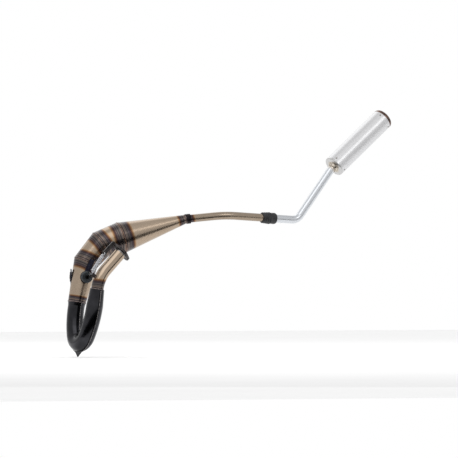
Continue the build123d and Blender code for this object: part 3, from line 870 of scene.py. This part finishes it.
@dataclass(frozen=True)
class RippledBead:
    """A round weld bead, laid as overlapping drops."""

    thickness: float = 1.0 * MM
    drop: float = 2.2 * MM
    ripple: float = 0.28
    sides: int = 8
    steps_per_drop: int = 4

    def lay(self, mesh: bmesh.types.BMesh, seam: Seam) -> None:
        """Adds a closed bead round a seam.

        Args:
            mesh: The mesh work it is added to.
            seam: The seam.
        """
        drops = max(12, round(FULL_TURN * seam.radius / self.drop))
        out = across(seam.normal, UP)
        side = seam.normal.cross(out)
        start = seam.centre + out * seam.radius
        before = set(mesh.verts)
        ring = bmesh.ops.create_circle(mesh, segments=self.sides, radius=self.thickness,
                                       matrix=standing(start, side, out))
        edges = list({edge for vert in ring["verts"] for edge in vert.link_edges})
        bmesh.ops.spin(mesh, geom=ring["verts"] + edges, cent=seam.centre, axis=seam.normal, angle=FULL_TURN,
                       steps=drops * self.steps_per_drop, use_merge=True, use_duplicate=False)
        for vert in (vert for vert in mesh.verts if vert not in before):
            arm = vert.co - seam.centre
            turn = math.atan2(arm.dot(side), arm.dot(out))
            core = seam.centre + (out * math.cos(turn) + side * math.sin(turn)) * seam.radius
            swell = 1 + self.ripple * abs(math.sin(turn * drops / 2)) - self.ripple / 2
            vert.co = core + (vert.co - core) * swell

    def run(self, mesh: bmesh.types.BMesh, start: Vector, end: Vector, guide: Vector) -> None:
        """Adds a straight bead between two points, with closed round ends.

        Args:
            mesh: The mesh work it is added to.
            start: Where it starts.
            end: Where it ends.
            guide: A direction across the bead.
        """
        length = (end - start).length
        drops = max(2, round(length / self.drop))
        way = (end - start).normalized()
        for number in range(drops):
            middle = start + way * (length * (number + 0.5) / drops)
            place = standing(middle, way, guide) @ Matrix.Diagonal((1.0, 1.0, 0.9, 1.0))
            bmesh.ops.create_uvsphere(mesh, u_segments=12, v_segments=8, radius=self.thickness * 1.25, matrix=place)


class WireBender:
    """Bends a round wire by spinning its last end, arc after arc."""

    def __init__(self, start: Vector, heading: Vector, radius: float, sides: int = 8) -> None:
        """Cuts the wire's first end.

        Args:
            start: Where the wire starts.
            heading: Where it points.
            radius: The wire's radius, in metres.
            sides: Faces round the wire.
        """
        self.mesh = bmesh.new()
        self.place = start.copy()
        self.heading = heading.normalized()
        guide = self.heading.orthogonal()
        ring = bmesh.ops.create_circle(self.mesh, segments=sides, radius=radius,
                                       matrix=standing(start, self.heading, guide))
        self.end = ring["verts"] + list({edge for vert in ring["verts"] for edge in vert.link_edges})

    def bend(self, axis: Vector, radius: float, angle: float, steps: int, rise: Vector = Vector()) -> None:
        """Turns the wire about an axis, climbing evenly as it goes.

        Args:
            axis: The axis, square to the heading.
            radius: The bend's radius, in metres.
            angle: The turn, in radians.
            steps: Rings along the bend.
            rise: The whole climb.
        """
        centre = self.place + axis.cross(self.heading) * radius
        made = bmesh.ops.spin(self.mesh, geom=self.end, cent=centre, axis=axis, dvec=rise / steps, angle=angle,
                              steps=steps, use_merge=False, use_duplicate=False)
        self.end = made["geom_last"]
        turn = Matrix.Rotation(angle, 3, axis)
        self.place = centre + turn @ (self.place - centre) + rise
        self.heading = turn @ self.heading

    def straight(self, end: Vector, steps: int) -> None:
        """Runs the wire straight to a point and keeps its heading.

        Args:
            end: Where it goes.
            steps: Rings along the run.
        """
        part = (end - self.place) / steps
        for _ in range(steps):
            edges = [item for item in self.end if isinstance(item, bmesh.types.BMEdge)]
            made = bmesh.ops.extrude_edge_only(self.mesh, edges=edges)["geom"]
            verts = [item for item in made if isinstance(item, bmesh.types.BMVert)]
            bmesh.ops.translate(self.mesh, verts=verts, vec=part)
            self.end = verts + [item for item in made if isinstance(item, bmesh.types.BMEdge) and
                                all(vert in verts for vert in item.verts)]
        self.place = end.copy()

    def cut(self) -> bmesh.types.BMesh:
        """Closes both ends and hands the mesh work over."""
        bmesh.ops.holes_fill(self.mesh, edges=[edge for edge in self.mesh.edges if edge.is_boundary])
        return self.mesh


# ---------------------------------------------------------------- slip joint
@dataclass
class SlipJoint:
    """The flange, its spring tabs and the two springs that hold the header on."""

    frame: dict
    tab_hole_along: float = 42.7 * MM
    tab_hole_out: float = 36.3 * MM
    lug_turn: float = 19.0
    lug_hole_out: float = 32.3 * MM
    spring_angles: tuple[float, float] = (0.0, 120.0)
    coil_radius: float = 4.9 * MM
    wire_radius: float = 1.0 * MM
    loop_radius: float = 4.5 * MM
    loop_turn: float = math.radians(305)
    coil_turns: int = 17
    steps_per_turn: int = 20
    loop_steps: int = 30
    curl_away: float = math.radians(60)
    curl_round: float = math.radians(150)
    tab_feet: tuple[float, float] = (31 * MM, 20.8 * MM)
    fillet_thickness: float = 1.1 * MM
    tab_fillet_side: float = 1.9 * MM
    lug_fillet_side: float = 2 * MM
    lug_fillet_lift: float = 0.3 * MM
    lug_fillet_half: float = 5 * MM
    flange_thickness: float = 8 * MM
    header_radius: float = 17.5 * MM

    def around(self, turn: float, angle: float) -> Vector:
        """The direction out from the header at an angle round it, after a turn of its axis."""
        return PATH.header_outside(turn) * math.cos(math.radians(angle)) + FAR * math.sin(math.radians(angle))

    def spring(self, number: int, angle: float) -> bpy.types.Object:
        """Winds one tension spring with a full loop at each end.

        Args:
            number: Which spring.
            angle: Its angle round the header, in degrees.

        Returns:
            The spring.
        """
        upper = PATH.flow * self.tab_hole_along + self.around(0, angle) * self.tab_hole_out
        lower = PATH.header_point(self.lug_turn) + self.around(self.lug_turn, angle) * self.lug_hole_out
        pull = (lower - upper).normalized()
        across_plate = self.around(0, angle).cross(pull).normalized()
        loop_axis = pull.cross(across_plate)
        loop_centre = upper + pull * self.loop_radius
        back = Matrix.Rotation(-self.loop_turn, 3, loop_axis)
        wire = WireBender(loop_centre + back @ (pull * self.loop_radius), back @ across_plate, self.wire_radius)
        wire.bend(loop_axis, self.loop_radius, self.loop_turn, self.loop_steps)
        gather = self.coil_radius / (1 + math.sqrt(3))
        coil_length = (lower - upper).length - 4 * self.loop_radius
        wire.bend(pull * -1, gather, self.curl_away, 6)
        wire.bend(pull, gather, self.curl_round, 12)
        wire.bend(pull, self.coil_radius, FULL_TURN * self.coil_turns, self.coil_turns * self.steps_per_turn,
                  pull * coil_length)
        wire.bend(pull, gather, self.curl_round, 12)
        wire.bend(pull * -1, gather, self.curl_away, 6)
        wire.bend(wire.heading.cross(pull), self.loop_radius, self.loop_turn, self.loop_steps)
        piece = new_piece(f"coil_spring_{number}", wire.cut(), ZINC_WIRE)
        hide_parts(f"tension_spring_{number}")
        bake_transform(piece)
        LOG.info("built %s between %s and %s", piece.name, Body.SEAL.value, Body.CHAMBER.value)
        return piece

    def tab_welds(self) -> bpy.types.Object:
        """Lays the fillet welds where the spring tabs stand on the flange.

        Returns:
            The welds.
        """
        mesh = bmesh.new()
        bead = RippledBead(thickness=self.fillet_thickness)
        for angle, reach in zip(self.spring_angles, self.tab_feet):
            out = self.around(0, angle)
            side = out.cross(PATH.flow).normalized()
            for way in (-1, 1):
                foot = out * reach + side * (way * self.tab_fillet_side)
                bead.run(mesh, foot + PATH.flow * MM, foot + PATH.flow * (self.flange_thickness - MM), side)
        return settle(new_piece("tab_welds", mesh, DARK_WELD), Body.MANIFOLD)

    def lug_welds(self) -> bpy.types.Object:
        """Lays the fillet welds where the lugs stand on the header.

        Returns:
            The welds.
        """
        mesh = bmesh.new()
        bead = RippledBead(thickness=self.fillet_thickness)
        way_down = PATH.header_way(self.lug_turn)
        for angle in self.spring_angles:
            out = self.around(self.lug_turn, angle)
            side = out.cross(way_down).normalized()
            for way in (-1, 1):
                raised = PATH.header_point(self.lug_turn) + out * (self.header_radius + self.lug_fillet_lift)
                foot = raised + side * (way * self.lug_fillet_side)
                half_run = way_down * self.lug_fillet_half
                bead.run(mesh, foot - half_run, foot + half_run, side)
        return settle(new_piece("lug_welds", mesh, DARK_WELD), Body.CHAMBER)

    def build(self) -> None:
        """Builds the springs and their welds."""
        for number, angle in enumerate(self.spring_angles, start=1):
            self.spring(number, angle)
        self.tab_welds()
        self.lug_welds()

    def dress(self) -> None:
        """Puts finishes on the carried nodes."""
        paint(self.frame, FLANGE_STEEL, "cylinder_flange", "spring_tabs", "header_lugs")
        paint(self.frame, SPIGOT_STEEL, "flange_spigot")
        paint(self.frame, SEAL_RUBBER, "slip_joint_seals")
        paint(self.frame, ZINC_WIRE, "tension_spring_1", "tension_spring_2")


# ---------------------------------------------------------------- chamber
@dataclass
class Chamber:
    """The header, the U-bend, the cones and the stinger."""

    frame: dict
    lip_reach: float = 3.0 * MM
    inlet_radius: float = 20 * MM
    bend_radius: float = 23.5 * MM
    outlet_radius: float = 25 * MM
    edge_radius: float = 1.0 * MM
    edge_inset: float = 0.5 * MM
    ripple_pitch: float = 0.9 * MM
    leg_steps: int = 16
    arc_steps: int = 60

    def beads(self) -> None:
        """Lays the round weld beads between the header, the U-bend, the cones and the stinger."""
        seams = {
            "header_weld": (HEADER_SEAM, RippledBead(1.5 * MM), DARK_WELD),
            "bend_weld": (BEND_SEAM, RippledBead(1.2 * MM), DARK_WELD),
            "rising_weld": (RISING_SEAM, RippledBead(0.55 * MM, drop=1.6 * MM), DARK_WELD),
            "belly_weld": (BELLY_SEAM, RippledBead(0.55 * MM, drop=1.6 * MM), DARK_WELD),
            "widest_weld": (WIDEST_SEAM, RippledBead(0.75 * MM, drop=1.8 * MM), WELD_METAL),
            "tail_weld": (TAIL_SEAM, RippledBead(1.3 * MM), DARK_WELD),
        }
        for name, (seam, bead, finish) in seams.items():
            mesh = bmesh.new()
            bead.lay(mesh, seam)
            settle(new_piece(name, mesh, finish), Body.CHAMBER)

    def seam_edge(self, name: str, side: int) -> bpy.types.Object:
        """Lays the edge weld along one outer or inner lip of the U-bend's pressed seam; its pale tone is partly a
        painted highlight where the lip catches light.

        Args:
            name: The weld's name.
            side: 1 for the outside of the U and -1 for its inside.

        Returns:
            The weld.
        """
        turn = math.radians(PATH.bend_side_turn)
        half = PATH.bend_half_width
        side_radius = (half - PATH.bend_bottom_radius * math.cos(turn)) / (1 - math.cos(turn))
        first = side * (self.inlet_radius + self.lip_reach)
        reach = side * (self.bend_radius + self.lip_reach)
        last = side * (self.outlet_radius + self.lip_reach)
        wire = WireBender(PATH.bend_point(-first, self.edge_inset), PATH.leg_down, self.edge_radius)
        wire.straight(PATH.bend_point(-reach, PATH.bend_near_leg), self.leg_steps)
        turning = PATH.leg_down.cross(FAR)
        wire.bend(turning, side_radius + reach, turn, self.arc_steps)
        wire.bend(turning, PATH.bend_bottom_radius + reach, math.pi - 2 * turn, self.arc_steps)
        wire.bend(turning, side_radius + reach, turn, self.arc_steps)
        far_top = PATH.bend_near_leg - PATH.bend_far_leg + self.edge_inset
        wire.straight(PATH.bend_point(2 * half + last, far_top), 4)
        mesh = wire.cut()
        for vert in mesh.verts:
            ripple = math.sin(vert.co.dot(PATH.leg_down) / self.ripple_pitch)
            vert.co += PATH.leg_front * (self.edge_radius * 0.5 * ripple)
        return settle(new_piece(name, mesh, EDGE_WELD_AND_HIGHLIGHT), Body.CHAMBER)

    def build(self) -> None:
        """Builds the welds."""
        self.beads()
        # The lip welds are partly a painted highlight along the U-bend's lips.
        self.seam_edge("outer_edge_weld_and_highlight", 1)
        self.seam_edge("inner_edge_weld_and_highlight", -1)

    def dress(self) -> None:
        """Puts finishes on the carried nodes."""
        header = HeatTintedSteel("header_steel", (HEADER_SEAM,), rough_low=0.1, rough_high=0.18)
        paint(self.frame, header, "header_tube")
        paint(self.frame, HeatTintedSteel("rising_steel", (BEND_SEAM, RISING_SEAM)), "rising_cone")
        paint(self.frame, HeatTintedSteel("lower_belly_steel", (RISING_SEAM, BELLY_SEAM)), "lower_belly_cone")
        paint(self.frame, HeatTintedSteel("upper_belly_steel", (BELLY_SEAM, WIDEST_SEAM)), "upper_belly_cone")
        paint(self.frame, HeatTintedSteel("tail_steel", (WIDEST_SEAM, TAIL_SEAM)), "tail_cone")
        paint(self.frame, HeatTintedSteel("stinger_steel", (TAIL_SEAM,), tone(166, 152, 136), tone(144, 128, 110)),
              "stinger_tube")
        paint(self.frame, GUNMETAL, "u_bend_front_half", "u_bend_rear_half", "header_collar")
        paint(self.frame, BURNT_STEEL, "stinger_collar")


# ---------------------------------------------------------------- mounts
@dataclass
class Mounts:
    """The rubber bobbin in front of the chamber, its brace, and the frame bracket behind."""

    frame: dict
    foot_along: float = 74 * MM
    heading: float = -104.0
    start: float = 39 * MM
    length: float = 13 * MM
    radius: float = 16.5 * MM
    insert_radius: float = 5.5 * MM
    insert_depth: float = 10 * MM
    weld_along: float = 36 * MM
    weld_radius: float = 9.2 * MM
    weld_thickness: float = 1.1 * MM

    def bobbin(self) -> bpy.types.Object:
        """Moulds the ribbed rubber bobbin round its steel insert.

        Returns:
            The bobbin.
        """
        foot = PATH.far_leg_top + pointing(*PATH.rising_leg[1:]) * self.foot_along
        out = pointing(self.heading, 0.0)
        end = self.start + self.length
        groove = 1.0 * MM
        profile = (
            (0.0, self.start + 0.01 * MM),
            (self.radius, self.start + 0.01 * MM),
            (self.radius, self.start + 3.4 * MM),
            (self.radius - groove, self.start + 4.4 * MM),
            (self.radius - groove, self.start + 5.4 * MM),
            (self.radius, self.start + 6.4 * MM),
            (self.radius, self.start + 9.4 * MM),
            (self.radius - 2.2 * MM, end),
            (self.radius - 5.0 * MM, end),
            (self.radius - 5.8 * MM, end - 0.9 * MM),
            (self.insert_radius, end - 0.9 * MM),
            (self.insert_radius, end - self.insert_depth),
            (0.0, end - self.insert_depth),
        )
        mesh = bmesh.new()
        turned(mesh, profile, foot, out, 64, closed=False)
        rounded(mesh, 25.0, 0.45 * MM, 3)
        piece = new_piece("ribbed_bobbin", mesh, BOBBIN_RUBBER)
        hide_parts("rubber_bobbin")
        return settle(piece, Body.CHAMBER)

    def post_weld(self) -> bpy.types.Object:
        """Lays the weld where the bobbin's cup sits on its post.

        Returns:
            The weld.
        """
        foot = PATH.far_leg_top + pointing(*PATH.rising_leg[1:]) * self.foot_along
        out = pointing(self.heading, 0.0)
        mesh = bmesh.new()
        RippledBead(self.weld_thickness).lay(mesh, Seam(foot + out * self.weld_along, out, self.weld_radius, 0.0))
        return settle(new_piece("post_weld", mesh, DARK_WELD), Body.CHAMBER)

    def build(self) -> None:
        """Builds the bobbin and its weld."""
        self.bobbin()
        self.post_weld()

    def dress(self) -> None:
        """Puts finishes on the carried nodes."""
        paint(self.frame, BRACKET_STEEL, "frame_bracket", "bobbin_post", "bobbin_cup", "bobbin_brace")
        paint(self.frame, GROMMET_RUBBER, "bracket_grommet")
        paint(self.frame, BOBBIN_RUBBER, "rubber_bobbin")
        paint(self.frame, PLATED_STEEL, "bracket_sleeve")
        paint(self.frame, BLACK_STEEL, "bobbin_insert")


# ---------------------------------------------------------------- coupler
@dataclass
class RubberSleeve:
    """The ribbed rubber sleeve that joins the stinger to the link pipe."""

    frame: dict
    bore: float = 11.05 * MM
    front_radius: float = 14 * MM
    rear_radius: float = 16 * MM
    length: float = 45 * MM
    rib_radius: float = 15.2 * MM
    rib_step: float = 0.5 * MM
    rib_pitch: float = 7 * MM
    rib_width: float = 3 * MM
    rib_count: int = 4

    def body_radius(self, along: float) -> float:
        """The sleeve's radius between ribs, at a distance from its front face."""
        return self.front_radius + (self.rear_radius - self.front_radius) * along / self.length

    def build(self) -> None:
        """Moulds the sleeve."""
        profile = [(self.bore, 0.0), (self.front_radius - 1 * MM, 0.0)]
        for number in range(self.rib_count):
            middle = self.rib_pitch * (number + 0.5)
            peak = self.rib_radius + self.rib_step * number
            for along, radius in ((-0.5, None), (-0.3, peak), (0.3, peak), (0.5, None)):
                place = middle + along * self.rib_width
                profile.append((radius or self.body_radius(place), place))
        profile += [
            (self.body_radius(self.length - 5 * MM), self.length - 5 * MM),
            (self.rear_radius - 0.3 * MM, self.length - 2.6 * MM),
            (self.rear_radius - 1.5 * MM, self.length),
            (self.bore, self.length),
        ]
        mesh = bmesh.new()
        turned(mesh, tuple(profile), PATH.coupler_start, PATH.coupler_way, 72)
        rounded(mesh, 20.0, 0.5 * MM, 3)
        piece = new_piece("ribbed_sleeve", mesh, COUPLER_RUBBER)
        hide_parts("rubber_coupler")
        settle(piece, Body.COUPLER)

    def dress(self) -> None:
        """Puts finishes on the carried nodes."""
        paint(self.frame, COUPLER_RUBBER, "rubber_coupler")


# ---------------------------------------------------------------- silencer
@dataclass
class Silencer:
    """The link pipe and the round riveted silencer."""

    frame: dict
    radius: float = 30 * MM
    pipe_radius: float = 11 * MM
    boss_radius: float = 15 * MM
    boss_length: float = 6 * MM
    inlet_rivets_along: float = 12 * MM
    outlet_rivets_along: float = 207 * MM
    rivet_count: int = 4
    rivet_first: float = 45.0
    head_radius: float = 2.8 * MM
    head_height: float = 1.1 * MM

    def rivet_row(self, name: str, node: str, along: float) -> bpy.types.Object:
        """Sets one row of domed blind rivets.

        Args:
            name: The row's name.
            node: The carried node it stands for.
            along: Its distance from the silencer's front face.

        Returns:
            The row.
        """
        axis = PATH.silencer_axis
        first = across(axis, FAR)
        mesh = bmesh.new()
        for number in range(self.rivet_count):
            turn = math.radians(self.rivet_first) + FULL_TURN * number / self.rivet_count
            out = first * math.cos(turn) + axis.cross(first) * math.sin(turn)
            foot = PATH.cap_face + axis * along + out * (self.radius - 0.3 * MM)
            top = self.head_height + 0.3 * MM
            profile = (
                (0.0, 0.0),
                (self.head_radius, 0.0),
                (self.head_radius, 0.45 * MM),
                (self.head_radius * 0.82, top * 0.78),
                (self.head_radius * 0.45, top),
                (self.head_radius * 0.34, top),
                (self.head_radius * 0.3, top - 0.45 * MM),
                (0.0, top - 0.45 * MM),
            )
            turned(mesh, profile, foot, out, 24, closed=False)
        piece = new_piece(name, mesh, RIVET_METAL)
        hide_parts(node)
        return settle(piece, Body.SILENCER)

    def welds(self) -> None:
        """Lays the beads on both sides of the inlet boss."""
        axis = PATH.silencer_axis
        seams = {
            "boss_weld": Seam(PATH.cap_face, axis, self.boss_radius, 0.0),
            "pipe_weld": Seam(PATH.cap_face - axis * self.boss_length, axis, self.pipe_radius + 0.9 * MM, 0.0),
        }
        for name, seam in seams.items():
            mesh = bmesh.new()
            RippledBead(1.1 * MM, drop=2.6 * MM).lay(mesh, seam)
            settle(new_piece(name, mesh, BRIGHT_WELD), Body.SILENCER)

    def build(self) -> None:
        """Builds the rivets and the welds."""
        self.rivet_row("inlet_rivet_heads", "inlet_rivets", self.inlet_rivets_along)
        self.rivet_row("outlet_rivet_heads", "outlet_rivets", self.outlet_rivets_along)
        self.welds()

    def dress(self) -> None:
        """Puts finishes on the carried nodes."""
        paint(self.frame, LINK_METAL, "link_pipe", "inlet_boss")
        paint(self.frame, SLEEVE_METAL, "silencer_sleeve")
        paint(self.frame, CAP_METAL, "inlet_cap")
        paint(self.frame, OUTLET_METAL, "outlet_cap", "outlet_tip")
        paint(self.frame, RIVET_METAL, "inlet_rivets", "outlet_rivets")
        paint(self.frame, CORE_STEEL, "perforated_core")
        paint(self.frame, PACKING_WOOL, "packing")


# ---------------------------------------------------------------- studio
@dataclass(frozen=True)
class PaleFloor:
    """A matt, nearly white studio floor."""

    name: str = "pale_floor"
    pale: Colour = tone(250, 250, 250)
    deep: Colour = tone(244, 244, 244)

    def material(self) -> bpy.types.Material:
        """Builds the node material.

        Returns:
            The material.
        """
        graph = NodeGraph(self.name)
        colour = graph.mix(graph.noise(3.0, 2.0), self.pale, self.deep)
        return graph.finish(base_color=colour, roughness=0.9)


@dataclass(frozen=True)
class BlackCloth:
    """Matt black cloth for a flag that darkens the metal's lower reflections."""

    name: str = "black_cloth"

    def material(self) -> bpy.types.Material:
        """Builds the node material.

        Returns:
            The material.
        """
        graph = NodeGraph(self.name)
        colour = graph.mix(graph.noise(400.0, 2.0), tone(10, 10, 11), tone(18, 18, 20))
        graph.shader.inputs["Specular IOR Level"].default_value = 0.0
        return graph.finish(base_color=colour, roughness=1.0)


@dataclass
class Studio:
    """A pale floor, soft lights, a dark flag and the camera."""

    azimuth: float = -30.0
    elevation: float = 0.0
    lens: float = 900.0
    frame_width: float = 1.2824
    aim_right: float = 0.2974
    aim_up: float = 0.0613
    aim_depth: float = -0.2
    floor_size: float = 14.0
    floor_middle: float = 0.35
    floor_gap: float = 1 * MM
    sensor_width: float = 36.0
    clip: tuple[float, float] = (1.0, 200.0)
    lit_spot: tuple[float, float, float] = (0.35, 0.03, 0.05)
    reflected_room: float = 0.74
    flag_near: float = 0.18
    flag_far: float = 6.0
    flag_width: float = 7.0
    lights: tuple[tuple[str, Vector, float, float], ...] = field(default_factory=lambda: (
        ("key_light", Vector((-1.6, -2.0, 3.2)), 3.2, 30.0),
        ("back_light", Vector((0.6, 2.6, 2.6)), 3.0, 20.0),
        ("sleeve_light", Vector((1.62, -3.17, 2.57)), 1.1, 11.0),
    ))

    def flat(self, name: str, finish: object, size: tuple[float, float], place: Matrix) -> bpy.types.Object:
        """Lays a flat rectangle, marked as not part of the object.

        Args:
            name: Its name.
            finish: Its finish.
            size: Its two sides.
            place: Where its middle lies and how it is turned.

        Returns:
            The rectangle.
        """
        mesh = bmesh.new()
        sized = place @ Matrix.Diagonal((size[0], size[1], 1.0, 1.0))
        bmesh.ops.create_grid(mesh, x_segments=8, y_segments=8, size=0.5, matrix=sized)
        piece = new_piece(name, mesh, finish)
        piece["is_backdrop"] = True
        return piece

    def floor(self, lowest: float) -> None:
        """Lays the floor just under the object."""
        middle = Matrix.Translation(Vector((self.floor_middle, 0.0, lowest - self.floor_gap)))
        self.flat("floor", PaleFloor(), (self.floor_size, self.floor_size), middle)

    def flag(self, lowest: float) -> None:
        """Lays the flag on the floor in front, where only reflections see it.

        Args:
            lowest: The height of the object's lowest point.
        """
        turned_to_camera = Matrix.Rotation(math.radians(self.azimuth), 4, "Z")
        middle = Vector((self.aim_right, -(self.flag_near + self.flag_far) / 2, lowest))
        size = (self.flag_width, self.flag_far - self.flag_near)
        flag = self.flat("dark_flag", BlackCloth(), size, turned_to_camera @ Matrix.Translation(middle))
        flag.visible_camera = False
        flag.visible_diffuse = False
        flag.visible_shadow = False

    def soft_lights(self) -> None:
        """Hangs the square soft lights, aimed at the middle of the object."""
        for name, place, size, power in self.lights:
            light = bpy.data.lights.new(name, "AREA")
            light.shape = "SQUARE"
            light.size = size
            light.energy = power
            lamp = bpy.data.objects.new(name, light)
            lamp.location = place
            lamp.rotation_euler = (Vector(self.lit_spot) - place).to_track_quat("-Z", "Y").to_euler()
            bpy.context.scene.collection.objects.link(lamp)

    def room(self) -> None:
        """Fills the room with even white light, softer for what the metal reflects."""
        world = bpy.data.worlds.new("white_room")
        bpy.context.scene.world = world
        world.use_nodes = True
        nodes, links = world.node_tree.nodes, world.node_tree.links
        background = nodes["Background"]
        background.inputs["Color"].default_value = (1.0, 1.0, 1.0, 1.0)
        dimmer = nodes.new("ShaderNodeBackground")
        dimmer.inputs["Color"].default_value = (1.0, 1.0, 1.0, 1.0)
        dimmer.inputs["Strength"].default_value = self.reflected_room
        path = nodes.new("ShaderNodeLightPath")
        mixer = nodes.new("ShaderNodeMixShader")
        links.new(path.outputs["Is Glossy Ray"], mixer.inputs[0])
        links.new(background.outputs[0], mixer.inputs[1])
        links.new(dimmer.outputs[0], mixer.inputs[2])
        links.new(mixer.outputs[0], nodes["World Output"].inputs["Surface"])

    def camera(self) -> None:
        """Stands the long-lens camera level with the exhaust, off its front quarter."""
        turn, climb = math.radians(self.azimuth), math.radians(self.elevation)
        right = Vector((math.cos(turn), math.sin(turn), 0.0))
        back = Vector((math.sin(turn) * math.cos(climb), -math.cos(turn) * math.cos(climb), math.sin(climb)))
        up = back.cross(right)
        data = bpy.data.cameras.new("camera")
        data.lens = self.lens
        data.sensor_width = self.sensor_width
        distance = self.frame_width * self.lens / data.sensor_width
        data.clip_start, data.clip_end = self.clip
        camera = bpy.data.objects.new("camera", data)
        camera.location = right * self.aim_right + up * self.aim_up + back * (self.aim_depth + distance)
        camera.rotation_mode = "QUATERNION"
        camera.rotation_quaternion = Matrix((right, up, back)).transposed().to_quaternion()
        bpy.context.scene.collection.objects.link(camera)
        bpy.context.scene.camera = camera

    def build(self, lowest: float) -> None:
        """Sets the studio up round the object.

        Args:
            lowest: The height of the object's lowest point.
        """
        self.floor(lowest)
        self.flag(lowest)
        self.soft_lights()
        self.room()
        self.camera()
        bpy.context.scene.view_settings.view_transform = "Standard"
        LOG.info("set up the studio")


def corners() -> list[list[float]]:
    """The shown object's lowest and highest corners, as plain lists."""
    return [list(corner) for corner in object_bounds()]


def main() -> None:
    """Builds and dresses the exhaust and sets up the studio."""
    logging.basicConfig(level=logging.INFO, format="%(name)s: %(message)s")
    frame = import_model()
    carried = corners()
    for assembly in (SlipJoint(frame), Chamber(frame), Mounts(frame), RubberSleeve(frame), Silencer(frame)):
        assembly.build()
        assembly.dress()
    Studio().build(carried[0][2])


if __name__ == "__main__":
    main()
